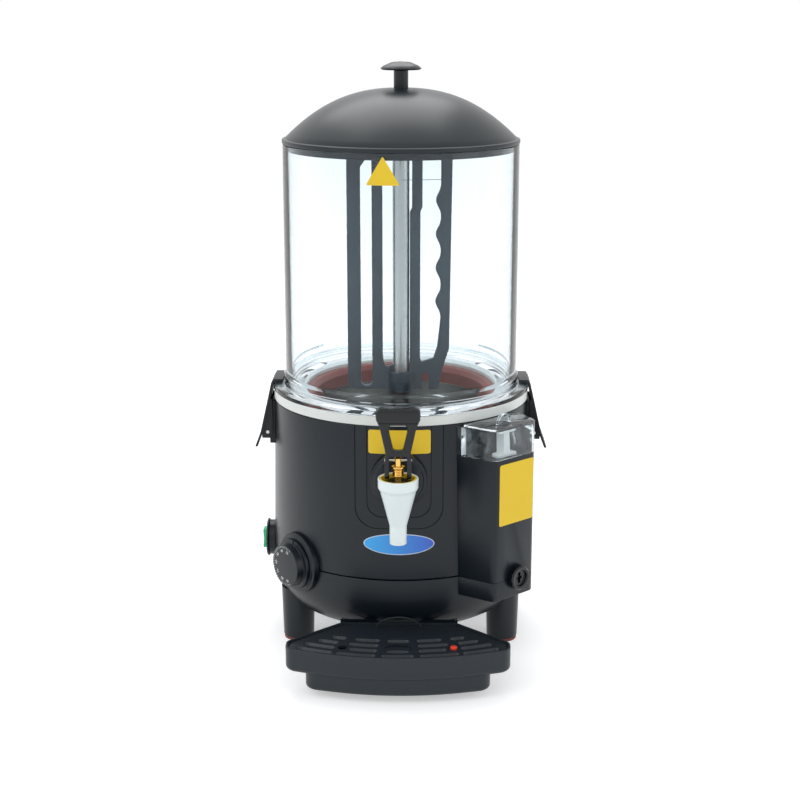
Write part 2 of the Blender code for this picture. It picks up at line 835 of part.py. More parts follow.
def make_pan_and_tank(front, steel):
    """Heating pan, the water tank round it and the fixed tube that the shaft runs in."""
    high = body_top_z + gap + sheet_wall
    outer = pan_inner_radius + sheet_wall
    hole = centre_tube_radius + gap
    profile = [(pan_flange_radius, high), (pan_flange_radius, high - sheet_wall),
               (outer, high - sheet_wall), (outer, pan_floor_z), (hole, pan_floor_z),
               (hole, pan_floor_z + sheet_wall), (pan_inner_radius, pan_floor_z + sheet_wall),
               (pan_inner_radius, high)]
    pan = turned("heating_pan", profile, front, steel)
    high = body_top_z - shell_wall - gap
    inner = tank_radius - sheet_wall
    profile = [(tank_flange_radius, high), (tank_flange_radius, high - sheet_wall),
               (tank_radius, high - sheet_wall), (tank_radius, tank_floor_z),
               (hole, tank_floor_z), (hole, tank_floor_z + sheet_wall),
               (inner, tank_floor_z + sheet_wall), (inner, high)]
    tank = turned("water_tank", profile, front, steel)
    low = tank_floor_z - centre_tube_tail
    bore = centre_tube_radius - centre_tube_wall
    collar_low = pan_floor_z + sheet_wall + gap
    collar_high = collar_low + centre_collar_height
    profile = [(centre_tube_radius, centre_tube_top_z), (centre_tube_radius, collar_high),
               (centre_collar_radius, collar_high), (centre_collar_radius, collar_low),
               (centre_tube_radius, collar_low), (centre_tube_radius, low), (bore, low),
               (bore, centre_tube_top_z)]
    turned("centre_tube", profile, front, steel, steps=round_steps)
    for item, label in ((pan, "pan"), (tank, "tank")):
        cut(item, tool_rod(f"{label}_outlet_hole", outlet_radius + outlet_clearance,
                           outlet_inner_reach - overrun, tank_radius + overrun, front,
                           (0.0, 0.0, outlet_z), face_out))
    return tank


def make_heater(front, steel, brass):
    """Ring heater pressed under the tank floor, with the thermostat's probe inside the ring."""
    high = tank_floor_z - gap
    tube("heating_element", heater_outer_radius, heater_inner_radius, high - heater_height, high,
         front, steel, steps=turned_steps)
    rod("thermostat_probe", sensor_radius, high - sensor_height, high, front, brass,
        (sensor_offset, 0.0, 0.0))


def make_drive(front, black, steel, blade_paint):
    """Gear motor on its bracket, the long shaft, the cap on top and the flat agitator."""
    gearbox_low = motor_seat_z + motor_height
    motor_top = gearbox_low + gearbox_height
    profile = [(0.0, motor_top), (gearbox_radius, motor_top), (gearbox_radius, gearbox_low),
               (motor_radius, gearbox_low), (motor_radius, motor_seat_z), (0.0, motor_seat_z)]
    motor = turned("gear_motor", profile, front, black, steps=round_steps)
    bore = shaft_radius + shaft_bore_clearance
    socket_floor = motor_top - shaft_socket_depth
    cut(motor, tool_rod("motor_socket", bore, socket_floor, motor_top + overrun, front))
    plate_top = motor_seat_z - gap
    bracket = rod("motor_bracket", bracket_radius, plate_top - bracket_thickness, plate_top, front,
                  steel)
    post_low = body_base_z + shell_wall + gap + plate_thickness + gap
    for index, (x, y) in enumerate(around(bracket_post_count, bracket_post_circle, post_turn_share)):
        join(bracket, rod(f"bracket_post_{index}", bracket_post_radius, post_low,
                          plate_top - bracket_thickness / 2, front, None, (x, y, 0.0),
                          steps=small_steps))
    cap_low = centre_tube_top_z + gap
    rod("drive_shaft", shaft_radius, socket_floor + gap, cap_low + cap_socket_depth - gap, front,
        steel, steps=small_steps)
    cap = rod("drive_cap", cap_radius, cap_low, cap_low + cap_height, front, blade_paint)
    cut(cap, tool_rod("cap_socket", bore, cap_low - overrun, cap_low + cap_socket_depth, front))
    make_agitator(front, blade_paint, cap_low - gap)


def wave_window():
    """Right window of the blade, whose outer side has a row of rounded bulges."""
    outline = [(wave_window_left, wave_window_top_z), (wave_window_left, wave_window_bottom_z)]
    outline.append((wave_window_right - wave_depth, wave_window_bottom_z + wave_depth))
    for wave in range(wave_count):
        for step in range(wave_points):
            share = step / wave_points
            height = wave_first_z + wave_pitch * (wave + share - 0.5)
            bulge = (1 - math.cos(2 * math.pi * share)) / 2
            outline.append((wave_window_right - wave_depth * bulge, height))
    outline.append((wave_window_right, wave_first_z + wave_pitch * (wave_count - 0.5)))
    outline.append((wave_window_right, wave_window_top_z))
    return outline


def make_agitator(front, paint, top_z):
    """Flat moulded blade with slots and windows, and a hub round the tube at each end."""
    corners = [(-blade_left, blade_bottom_z, blade_corner), (blade_right, blade_bottom_z,
               blade_corner * 2), (blade_right, blade_top_z, blade_corner),
               (-blade_left, blade_top_z, blade_corner)]
    half_slot = (slot_left - slot_right) / 2 * slot_round_share
    slot = rectangle(-slot_left, -slot_right, slot_bottom_z, slot_top_z, half_slot)
    window = [(-window_left, window_bottom_z), (window_right, window_bottom_z),
              (window_right, window_step_z), (window_right + window_step, window_step_z + window_step),
              (window_right + window_step, window_top_z), (-window_left, window_top_z)]
    vent = rectangle(vent_slot_x - vent_slot_width / 2, vent_slot_x + vent_slot_width / 2,
                     vent_slot_bottom_z, vent_slot_top_z, vent_slot_width / 2 * slot_round_share)
    outlines = [rounded(corners), slot, window, wave_window(), vent]
    blade = prism("agitator", outlines, -blade_thickness / 2, blade_thickness / 2, front, paint,
                  rotation=face_out)
    hub_low = blade_bottom_z - hub_proud
    join(blade, rod("hub_bottom", hub_radius, hub_low, hub_low + hub_height, front, None))
    join(blade, rod("hub_top", hub_radius, blade_top_z - hub_height / 2, top_z, front, None))
    bore = centre_tube_radius + hub_clearance
    cut(blade, tool_rod("hub_bore", bore, hub_low - overrun, top_z + overrun, front))


def latch_outline():
    """Side view of the latch lever: hook over the flange, arm and finger tip."""
    hook_low = flange_top_z + gap
    hook_high = hook_low + latch_hook_drop
    tip_reach = latch_elbow_reach + latch_tip_flare
    return [(latch_hook_reach, hook_low), (latch_shoulder_reach - latch_plate, hook_low),
            (latch_elbow_reach - latch_plate, latch_elbow_z),
            (tip_reach - latch_plate, latch_tip_z), (tip_reach, latch_tip_z),
            (latch_elbow_reach, latch_elbow_z),
            (latch_shoulder_reach, hook_low + gap), (latch_shoulder_reach - latch_plate, hook_high),
            (latch_hook_reach, hook_high)]


def make_latch(side, stand, black, steel):
    """One side latch turning on its pin, and the bracket on the wall that carries the pin."""
    pivot = (0.0, -latch_pivot_reach, latch_pivot_z)
    outline = [(reach - latch_pivot_reach, z - latch_pivot_z) for reach, z in latch_outline()]
    latch = prism(f"latch_{side}", [outline], -latch_half_width, latch_half_width, stand, black,
                  pivot, side_on)
    arm_x = latch_elbow_reach - latch_pivot_reach - latch_plate / 2
    arm_top_x = latch_shoulder_reach - latch_pivot_reach - latch_plate / 2
    top = latch_cheek_top_z - latch_pivot_z
    rise_share = (latch_cheek_top_z - latch_elbow_z) / (flange_top_z - latch_elbow_z)
    top_x = arm_x + (arm_top_x - arm_x) * rise_share
    for index, sign in enumerate((-1, 1)):
        cheek_face = latch_half_width - latch_cheek_inset
        edges = sorted((sign * cheek_face, sign * (cheek_face - latch_cheek)))
        corners = [(top_x, top, 0.0), (-latch_cheek_back, top, latch_cheek_corner),
                   (-latch_cheek_back, 0.0, latch_cheek_corner),
                   (-latch_cheek_back / 2, -latch_cheek_drop, latch_cheek_corner),
                   (arm_x, -latch_cheek_drop, latch_cheek_corner), (arm_x, 0.0, 0.0)]
        cheek = prism(f"latch_cheek_{side}_{index}", [rounded(corners)], edges[0], edges[1], stand,
                      None, pivot, side_on)
        join(latch, cheek)
    hole = latch_pin_radius + latch_pin_clearance
    cut(latch, tool_rod(f"latch_hole_{side}", hole, -latch_half_width - overrun,
                        latch_half_width + overrun, stand, pivot, side_on))
    rod(f"latch_pin_{side}", latch_pin_radius, -latch_half_width, latch_half_width,
        stand, steel, pivot, side_on, small_steps)
    half = latch_half_width - latch_cheek_inset - latch_cheek - bracket_side_clearance
    plate_reach = body_seam_radius + bracket_plate_proud
    plate = [(body_top_radius / 2, bracket_plate_bottom_z), (plate_reach, bracket_plate_bottom_z),
             (plate_reach, latch_pivot_z - bracket_ear_half_height),
             (bracket_ear_reach, latch_pivot_z - bracket_ear_half_height),
             (bracket_ear_reach, latch_pivot_z + bracket_ear_half_height),
             (plate_reach - bracket_plate_proud, latch_pivot_z + bracket_ear_half_height * 2),
             (plate_reach - bracket_plate_proud, bracket_plate_top_z),
             (body_top_radius / 2, bracket_plate_top_z)]
    bracket = prism(f"latch_bracket_{side}", [plate], -half, half, stand, black, upright, side_on)
    cut(bracket, envelope(f"bracket_fit_{side}", stand, gap),
        tool_rod(f"bracket_hole_{side}", hole, -latch_half_width, latch_half_width, stand,
                 pivot, side_on))


def make_tap(front, black, white, brass, yellow, rubber, steel):
    """Outlet pipe, boss, white spout with bonnet, sprung stem, plunger and lever handle."""
    axis = (0.0, 0.0, outlet_z)
    tap = (0.0, -tap_reach, 0.0)
    tube("outlet_pipe", outlet_radius, outlet_bore_radius, outlet_inner_reach, boss_reach,
         front, steel, axis, face_out)
    boss = tube("tap_boss", boss_radius, outlet_radius + outlet_clearance, body_top_radius / 2,
                boss_reach, front, black, axis, face_out, turned_steps)
    cut(boss, envelope("boss_fit", front, gap - panel_step_depth - panel_step_depth))
    inner_rim = spout_rim_radius - spout_wall
    inner_lip = spout_lip_radius - spout_wall
    inner_tube = spout_tube_radius - spout_wall
    profile = [(inner_rim, spout_rim_top_z), (spout_rim_radius, spout_rim_top_z),
               (spout_rim_radius, spout_rim_bottom_z + spout_wall),
               (spout_lip_radius, spout_rim_bottom_z), (spout_tube_radius, spout_neck_z),
               (spout_tube_radius, spout_tip_z), (inner_tube, spout_tip_z),
               (inner_tube, spout_neck_z), (inner_lip, spout_rim_bottom_z),
               (inner_rim, spout_rim_bottom_z + spout_wall)]
    spout = turned("spout", profile, front, white, tap, steps=round_steps)
    inlet = rod("spout_inlet", spout_inlet_radius, boss_reach + gap,
                tap_reach - inner_rim, front, None, (0.0, 0.0, outlet_z - spout_wall), face_out)
    inlet_bore = tool_rod("spout_inlet_bore", outlet_bore_radius, boss_reach - overrun,
                          tap_reach - inner_tube, front, (0.0, 0.0, outlet_z - spout_wall), face_out)
    join(spout, inlet)
    cut(spout, inlet_bore)
    bonnet_top = spout_rim_top_z - gap
    profile = [(bonnet_collar_radius, bonnet_top + bonnet_collar_height),
               (bonnet_collar_radius, bonnet_top), (inner_rim - gap, bonnet_top),
               (inner_rim - gap, bonnet_top - bonnet_thickness),
               (stem_radius + stem_clearance, bonnet_top - bonnet_thickness),
               (stem_radius + stem_clearance, bonnet_top + bonnet_collar_height)]
    turned("tap_bonnet", profile, front, black, tap, steps=round_steps)
    band_low = spout_rim_top_z + gap
    tube("bonnet_band", spout_rim_radius, band_inner_radius, band_low, band_low + band_height,
         front, yellow, tap)
    seat_z = spout_neck_z + spout_wall
    plunger_low = seat_z + (plunger_radius - inner_tube) + plunger_clearance
    plunger_top = plunger_low + plunger_height
    profile = [(0.0, stem_top_z), (stem_radius - stem_chamfer, stem_top_z),
               (stem_radius, stem_top_z - stem_chamfer), (stem_radius, stem_collar_z + stem_collar_height),
               (stem_collar_radius, stem_collar_z + stem_collar_height),
               (stem_collar_radius, stem_collar_z), (stem_radius, stem_collar_z),
               (stem_radius, plunger_top - plunger_grip), (0.0, plunger_top - plunger_grip)]
    stem = turned("valve_stem", profile, front, brass, tap, steps=small_steps)
    profile = [(0.0, plunger_top), (plunger_radius, plunger_top),
               (plunger_radius, plunger_low + plunger_taper_height),
               (plunger_radius / 2, plunger_low), (0.0, plunger_low)]
    plunger = turned("valve_plunger", profile, front, rubber, tap, steps=round_steps)
    cut(plunger, tool_rod("plunger_bore", stem_radius + gap, plunger_top - plunger_grip - gap,
                          plunger_top + overrun, front, tap))
    pin_at = (0.0, -tap_reach, pin_z)
    along = (0.0, math.radians(90.0), 0.0)
    hole = pin_radius + pin_clearance
    cut(stem, tool_rod("stem_hole", hole, -handle_half_width, handle_half_width, front,
                       pin_at, along))
    rod("handle_pin", pin_radius, -handle_waist_half_width - gap, handle_waist_half_width + gap,
        front, steel, pin_at, along, small_steps)
    make_spring(front, steel, plunger_top + gap, bonnet_top - bonnet_thickness - gap)
    make_handle(front, black, pin_at, along, hole)


def make_spring(front, paint, low, high):
    """Compression spring round the stem: it holds the plunger down from the bonnet."""
    count = spring_turns * spring_points_per_turn
    bottom = low + spring_wire_radius
    climb = high - low - spring_wire_radius - spring_wire_radius
    curve = bpy.data.curves.new("tap_spring", "CURVE")
    curve.dimensions = "3D"
    curve.bevel_depth = spring_wire_radius
    curve.bevel_resolution = 1
    curve.use_fill_caps = True
    spline = curve.splines.new("POLY")
    spline.points.add(count)
    places = []
    for k in range(count + 1):
        turn = 2 * math.pi * k / spring_points_per_turn
        places.append(Vector((spring_mean_radius * math.cos(turn),
                              spring_mean_radius * math.sin(turn), bottom + climb * k / count)))
    for point, place in zip(spline.points, places):
        point.co = (*place, 1.0)
    near = spring_points_per_turn // 2
    least = min((a - b).length for i, a in enumerate(places) for b in places[i + near:])
    print("tap_spring least gap to itself, m:", round(least - spring_wire_radius * 2, 5))
    guide = bpy.data.objects.new("tap_spring_path", curve)
    link(guide)
    guide.parent = front
    guide.location = (0.0, -tap_reach, 0.0)
    bpy.context.view_layer.update()
    mesh = bpy.data.meshes.new_from_object(guide.evaluated_get(bpy.context.evaluated_depsgraph_get()))
    solid = bmesh.new()
    solid.from_mesh(mesh)
    bmesh.ops.remove_doubles(solid, verts=solid.verts, dist=weld_distance)
    bmesh.ops.recalc_face_normals(solid, faces=solid.faces)
    solid.to_mesh(mesh)
    solid.free()
    item = bpy.data.objects.new("tap_spring", mesh)
    link(item)
    bpy.data.objects.remove(guide, do_unlink=True)
    settle(item, front, (0.0, -tap_reach, 0.0), upright, paint)


def make_handle(front, black, pin_at, along, hole):
    """Loop handle: a top bar, two rails that draw in to a bridge, and cheeks below it."""
    waist = handle_waist_half_width
    corners = [(-waist, handle_bridge_bottom_z, 0.0), (waist, handle_bridge_bottom_z, 0.0),
               (waist, handle_waist_z, handle_corner),
               (handle_half_width, handle_shoulder_z, handle_corner),
               (handle_half_width, handle_top_z, handle_corner),
               (-handle_half_width, handle_top_z, handle_corner),
               (-handle_half_width, handle_shoulder_z, handle_corner),
               (-waist, handle_waist_z, handle_corner)]
    outer = [(x, z - pin_z) for x, z in rounded(corners)]
    loop_half = handle_half_width - handle_rail
    low = handle_waist_z + handle_rail / 2
    corners = [(-waist + handle_rail, low, handle_rail / 2), (waist - handle_rail, low,
               handle_rail / 2), (loop_half, handle_bar_bottom_z, handle_rail / 2),
               (-loop_half, handle_bar_bottom_z, handle_rail / 2)]
    inner = [(x, z - pin_z) for x, z in rounded(corners)]
    handle = prism("tap_handle", [outer, inner], -handle_thickness / 2, handle_thickness / 2, front,
                   black, pin_at, face_out)
    stem_room = rectangle(-cheek_inner, cheek_inner, handle_bottom_z - pin_z - overrun,
                          stem_top_z + stem_room_clearance - pin_z)
    half = handle_thickness / 2
    for index, sign in enumerate((-1, 1)):
        edges = sorted((sign * waist, sign * cheek_inner))
        plate = rectangle(edges[0], edges[1], handle_bottom_z - pin_z,
                          handle_bridge_bottom_z - pin_z + gap)
        join(handle, prism(f"handle_cheek_{index}", [plate], -half, half, front, None, pin_at,
                           face_out))
    cut(handle, prism("handle_stem_room", [stem_room], -handle_thickness, handle_thickness, front,
                      None, pin_at, face_out))
    cut(handle, tool_rod("handle_hole", hole, -handle_half_width, handle_half_width, front,
                         pin_at, along))


def make_dial(stand, black, steel):
    """Temperature dial on its base disc, with the shaft and the regulator it turns."""
    centre = (0.0, 0.0, dial_z)
    shaft_hole = dial_shaft_radius + dial_shaft_clearance
    base = tube("dial_base", dial_base_radius, shaft_hole, body_top_radius / 2, dial_base_reach,
                stand, black, centre, face_out, turned_steps)
    cut(base, envelope("dial_fit", stand, gap))
    low = dial_base_reach + gap
    high = low + dial_height
    profile = [(0.0, high), (dial_grip_radius - dial_edge_round, high),
               (dial_grip_radius, high - dial_edge_round),
               (dial_grip_radius, low + dial_skirt_height), (dial_skirt_radius, low + dial_edge_round),
               (dial_skirt_radius, low), (0.0, low)]
    dial = turned("dial", profile, stand, black, centre, face_out, turned_steps)
    cut(dial, tool_rod("dial_socket", shaft_hole, low - overrun, low + dial_socket_depth, stand,
                       centre, face_out))
    half = regulator_width / 2
    block("regulator", -half, half, -regulator_outer_reach, -regulator_inner_reach,
          dial_z - regulator_height / 2, dial_z + regulator_height / 2, stand, steel)
    rod("dial_shaft", dial_shaft_radius, regulator_outer_reach + gap, low + dial_socket_depth - gap,
        stand, steel, centre, face_out, small_steps)


def switch_window():
    """Opening in the collar and the wall, with the rocker a close fit across it."""
    half_width = rocker_width / 2 + gap
    half_height = collar_window_height / 2
    return rectangle(-half_width, half_width, -half_height, half_height)


def make_switch(stand, black, green, clear):
    """Round collar on the wall with a green rocker in its switch block, under a clear boot."""
    centre = (0.0, 0.0, switch_z)
    outlines = [circle(0.0, 0.0, collar_radius, turned_steps), switch_window()]
    collar = prism("switch_collar", outlines, body_top_radius / 2, collar_reach, stand, black,
                   centre, face_out)
    cut(collar, envelope("collar_fit", stand, gap))
    half = rocker_height / 2
    outline = [(rocker_heel, -half), (rocker_depth, -half), (rocker_depth - rocker_crown, 0.0),
               (rocker_depth, half),
               (rocker_heel, half), (0.0, rocker_seat_half_height), (0.0, -rocker_seat_half_height)]
    prism("rocker", [outline], -rocker_width / 2, rocker_width / 2, stand, green,
          (0.0, rocker_sink - collar_reach, switch_z), side_on)
    low = collar_reach + gap
    high = low + boot_height
    inner = boot_radius - boot_wall
    profile = [(0.0, high), (inner - boot_crown, high), (boot_radius, low + boot_crown),
               (boot_radius, low), (inner, low), (inner, low + boot_crown - boot_wall),
               (inner - boot_crown, high - boot_wall), (0.0, high - boot_wall)]
    turned("switch_boot", profile, stand, clear, centre, face_out, round_steps)


def box_outline(inset=0.0, back=box_inner_reach):
    """Plan of the side box: it narrows outwards, with its outer corners rounded."""
    slope = (box_inner_half_width - box_outer_half_width) / (box_reach - box_inner_reach)
    front_reach = box_reach - inset
    front_half = box_outer_half_width + slope * inset - inset
    back_half = front_half + slope * (front_reach - back)
    corner = max(box_corner - inset, gap)
    corners = [(-back_half, -back, 0.0), (-front_half, -front_reach, corner),
               (front_half, -front_reach, corner), (back_half, -back, 0.0)]
    return rounded(corners)


def make_fill_box(stand, front, black, clear, white, steel, tank, housings):
    """Side box in two halves, clear filling chamber, its lid, float, drain cap and pipe."""
    cavity_back = body_seam_radius + gap + box_wall
    upper = prism("fill_box", [box_outline()], seam_z + gap / 2, box_top_z, stand, black)
    cut(upper, envelope("fill_box_fit", front, gap),
        prism("fill_box_cavity", [box_outline(box_wall, cavity_back)], seam_z - overrun,
              box_top_z - box_wall, stand, None),
        tool_rod("water_hole", water_hole_radius, box_top_z - box_wall - overrun,
                 box_top_z + overrun, stand, (0.0, -water_hole_reach, 0.0)))
    lower = prism("fill_box_base", [box_outline()], box_base_z, seam_z - gap / 2, stand, black)
    cut(lower, envelope("fill_base_fit", front, gap),
        prism("fill_base_cavity", [box_outline(box_wall, cavity_back)], box_base_z + box_wall,
              seam_z + overrun, stand, None))
    drain_at = (drain_offset, 0.0, seam_z)
    hole = drain_shank_radius + drain_clearance
    for item, label in ((upper, "upper"), (lower, "lower")):
        cut(item, tool_rod(f"drain_hole_{label}", hole, box_reach - box_wall - overrun,
                           box_reach + overrun, stand, drain_at, face_out))
    chamber = prism("fill_chamber", [box_outline()], box_top_z + gap, chamber_top_z, stand, clear)
    cut(chamber, envelope("chamber_fit", front, gap),
        prism("chamber_cavity", [box_outline(chamber_wall, chamber_back_reach + chamber_wall)],
              box_top_z - overrun, chamber_top_z + overrun, stand, None))
    back = chamber_back_reach + fill_lid_clearance
    low = chamber_top_z + gap
    hinge = (0.0, -back, low)
    outline = [(x, y + back) for x, y in box_outline(0.0, back)]
    lid = prism("fill_lid", [outline], 0.0, fill_lid_thickness, stand, clear, hinge)
    turns = [math.pi * k / small_steps for k in range(small_steps + 1)]
    outer = [(fill_tab_radius * math.cos(turn), fill_tab_radius * math.sin(turn)) for turn in turns]
    inner_radius = fill_tab_radius - fill_tab_thickness
    inner = [(inner_radius * math.cos(turn), inner_radius * math.sin(turn)) for turn in turns]
    tab_reach = back + (box_reach - back) * fill_tab_place_share
    arch = prism("fill_tab", [outer + list(reversed(inner))], -fill_tab_width / 2,
                 fill_tab_width / 2, stand, None,
                 (0.0, -tab_reach, low + fill_lid_thickness - gap), face_out)
    join(lid, arch)
    make_water_float(stand, white)
    make_drain_cap(stand, black, drain_at)
    pipe_hole = pipe_radius + gap
    tube("water_pipe", pipe_radius, pipe_radius - pipe_wall, tank_radius - sheet_wall - gap,
         cavity_back, stand, steel, (0.0, 0.0, pipe_z), face_out)
    for item, label in ((tank, "tank"), (housings[0], "housing"), (upper, "box")):
        cut(item, tool_rod(f"pipe_hole_{label}", pipe_hole, tank_radius - overrun,
                           cavity_back + overrun, stand, (0.0, 0.0, pipe_z), face_out))


def make_water_float(stand, white):
    """White level float: two plates joined by a stem, riding up and down in the chamber."""
    low = box_top_z + gap
    at = (0.0, -float_reach, low)
    half, depth = float_plate_half_width, float_plate_half_depth
    plate = rectangle(-half, half, -depth, depth, float_plate_corner)
    floater = prism("water_float", [plate], 0.0, float_plate_thickness, stand, white, at)
    join(floater,
         prism("float_stem", [rectangle(-float_stem_half, float_stem_half, -float_stem_half,
                                        float_stem_half)], float_plate_thickness / 2,
               float_height - float_plate_thickness / 2, stand, None, at),
         prism("float_top", [plate], float_height - float_plate_thickness, float_height, stand,
               None, at))


def make_drain_cap(stand, black, drain_at):
    """Screw-in drain cap with a crossed slot for a coin."""
    face = box_reach + gap
    top = face + drain_head_height
    profile = [(0.0, top), (drain_head_radius - drain_head_round, top),
               (drain_head_radius, top - drain_head_round), (drain_head_radius, face),
               (drain_shank_radius, face), (drain_shank_radius, face - drain_shank_length),
               (0.0, face - drain_shank_length)]
    cap = turned("drain_cap", profile, stand, black, drain_at, face_out, round_steps)
    half_length, half_width = drain_slot_length / 2, drain_slot_width / 2
    for index, (x, y) in enumerate(((half_length, half_width), (half_width, half_length))):
        cut(cap, prism(f"drain_slot_{index}", [rectangle(-x, x, -y, y)], top - drain_slot_depth,
                       top + overrun, stand, None, drain_at, face_out))


def make_gland(stand, black):
    """Cable gland through the back wall; the cord itself isn't shown."""
    centre = (0.0, 0.0, gland_z)
    wall = wall_radius(body_base_z + base_round_radius)
    inside = flat_seat(wall_radius(seam_z) - shell_wall, gland_nut_radius)
    profile = [(gland_radius, gland_reach), (gland_nut_radius, gland_reach - gland_nut_height / 2),
               (gland_nut_radius, wall + gap), (gland_radius, wall + gap),
               (gland_radius, inside), (gland_nut_radius, inside),
               (gland_nut_radius, gland_tail_reach), (gland_bore_radius, gland_tail_reach),
               (gland_bore_radius, gland_reach)]
    turned("cable_gland", profile, stand, black, centre, face_out, round_steps)


def tray_outline(half, shoulder_reach, front_reach, back_half, back_reach, corner):
    """Plan of the tray: a wide front arc, rounded shoulders and sides drawn in to the back."""
    centre_reach = front_reach - tray_front_radius
    corner_x = half * tray_corner_x / tray_shoulder_x
    limit = math.asin(corner_x / tray_front_radius)
    arc = []
    for k in range(tray_front_steps + 1):
        angle = limit * (2 * k / tray_front_steps - 1)
        arc.append((tray_front_radius * math.sin(angle),
                    -centre_reach - tray_front_radius * math.cos(angle)))
    corners = [(x, y, 0.0) for x, y in arc[1:-1]]
    corners += [(half, arc[-1][1], corner), (half, -shoulder_reach, corner / 2),
                (back_half, -back_reach, corner / 4), (-back_half, -back_reach, corner / 4),
                (-half, -shoulder_reach, corner / 2), (-half, arc[0][1], corner)]
    return rounded(corners)


def basin_outline(inset):
    return tray_outline(tray_shoulder_x - inset, tray_shoulder_reach, tray_front_reach - inset,
                        tray_back_half_width - inset / 2, tray_back_reach + inset,
                        tray_corner_round - inset / 2)


def step_outline(inset):
    return tray_outline(tray_step_half_width - inset, tray_step_shoulder_reach,
                        tray_front_reach - tray_step_inset - inset,
                        tray_back_half_width - inset / 2, tray_step_back_reach + inset,
                        tray_corner_round - inset / 2)


def make_tray(front, black, red, steel):
    """Drip tray with a lower step, two arms that slide in under the body, grid and float."""
    basin = prism("drip_tray", [basin_outline(0.0)], tray_floor_z, tray_top_z, front, black)
    round_rim(basin, tray_floor_z, tray_rim_round)
    step = prism("tray_step", [step_outline(0.0)], tray_step_z, tray_floor_z + tray_wall, front, None)
    round_rim(step, tray_step_z, tray_rim_round)
    join(basin, step)
    basin_floor = tray_floor_z + tray_wall
    cut(basin, prism("basin_cavity", [basin_outline(tray_wall)], basin_floor, tray_top_z + overrun,
                     front, None),
        prism("step_cavity", [step_outline(tray_wall * 2)], tray_step_z + tray_wall,
              basin_floor + overrun, front, None))
    rail_low = body_base_z + shell_wall + gap + plate_thickness + gap
    rail_top = rail_low + rail_thickness
    arm_low = rail_top + gap
    for index, sign in enumerate((-1, 1)):
        edges = sorted((sign * arm_inner_x, sign * arm_outer_x))
        join(basin, block(f"tray_arm_{index}", edges[0], edges[1],
                          -tray_back_reach - tray_wall / 2, -arm_end_reach, arm_low,
                          arm_low + arm_thickness, front, None))
    rail = block("tray_rail", -rail_half_width, rail_half_width, -rail_front_reach,
                 -rail_back_reach, rail_low, rail_top, front, steel)
    make_grid(front, black)
    shelf = tray_step_z + tray_wall + gap
    top = tray_top_z - grid_drop + tray_float_proud
    profile = [(0.0, top), (tray_float_radius, top), (tray_float_radius, shelf + tray_float_base_height),
               (tray_float_base_radius, shelf + tray_float_base_height),
               (tray_float_base_radius, shelf), (0.0, shelf)]
    turned("tray_float", profile, front, red, (grid_hole_x, -grid_hole_reach, 0.0),
           steps=small_steps)
    return rail


def arc_slot(radius, left, right):
    """Slot that follows the tray's front arc between two x places, with blunt ends."""
    middle_y = tray_front_radius - tray_front_reach
    half = slot_depth / 2
    blunt = half / 2
    first = math.asin((left + blunt) / radius)
    last = math.asin((right - blunt) / radius)
    turns = [first + (last - first) * k / slot_arc_steps for k in range(slot_arc_steps + 1)]
    near = [((radius + half) * math.sin(turn), middle_y - (radius + half) * math.cos(turn))
            for turn in turns]
    far = [((radius - half) * math.sin(turn), middle_y - (radius - half) * math.cos(turn))
           for turn in reversed(turns)]
    ends = [(x, middle_y - math.sqrt(radius ** 2 - x ** 2)) for x in (left, right)]
    return near + [ends[1]] + far + [ends[0]]


def make_grid(front, black):
    """Grid plate with rows of bowed slots, held up off the basin floor by ribs."""
    high = tray_top_z - grid_drop
    low = high - grid_thickness
    outlines = [basin_outline(tray_wall + grid_clearance)]
    for row in range(slot_rows):
        radius = tray_front_radius - slot_first_inset - slot_pitch * row
        outer_end = slot_outer_first - slot_outer_shrink * row
        outlines.append(arc_slot(radius, -slot_centre_half, slot_centre_half))
        for sign in (-1, 1):
            for ends in ((slot_mid_inner, slot_mid_outer), (slot_outer_inner, outer_end)):
                left, right = sorted(sign * end for end in ends)
                outlines.append(arc_slot(radius, left, right))
    for sign in (-1, 1):
        outlines.append(circle(sign * grid_hole_x, -grid_hole_reach, grid_hole_radius))
    grid = prism("tray_grid", outlines, low, high, front, black)
    rib_low = tray_floor_z + tray_wall + gap
    for index, sign in enumerate((-1, 1)):
        middle = sign * (slot_centre_half + slot_mid_inner) / 2
        join(grid, block(f"grid_rib_{index}", middle - grid_rib_width / 2,
                         middle + grid_rib_width / 2,
                         -tray_front_reach + tray_corner_round, -tray_back_reach - tray_corner_round,
                         rib_low, low + grid_thickness / 2, front, None))


def cut_wall_holes(housings, front, dial_stand, switch_stand, rear):
    """Holes through the two shells for the outlet, dial shaft, switch block and gland."""
    upper, lower = housings
    inner = body_top_radius / 2
    outer = body_seam_radius + overrun
    cut(upper, tool_rod("wall_outlet_hole", outlet_radius + outlet_clearance, inner, outer, front,
                        (0.0, 0.0, outlet_z), face_out))
    shaft_hole = dial_shaft_radius + dial_shaft_clearance
    for item, label in ((upper, "upper"), (lower, "lower")):
        cut(item, tool_rod(f"dial_hole_{label}", shaft_hole, inner, outer, dial_stand,
                           (0.0, 0.0, dial_z), face_out),
            prism(f"switch_hole_{label}", [switch_window()], inner, outer, switch_stand, None,
                  (0.0, 0.0, switch_z), face_out))
    cut(lower, tool_rod("gland_hole", gland_radius + gap, inner, outer, rear,
                        (0.0, 0.0, gland_z), face_out))


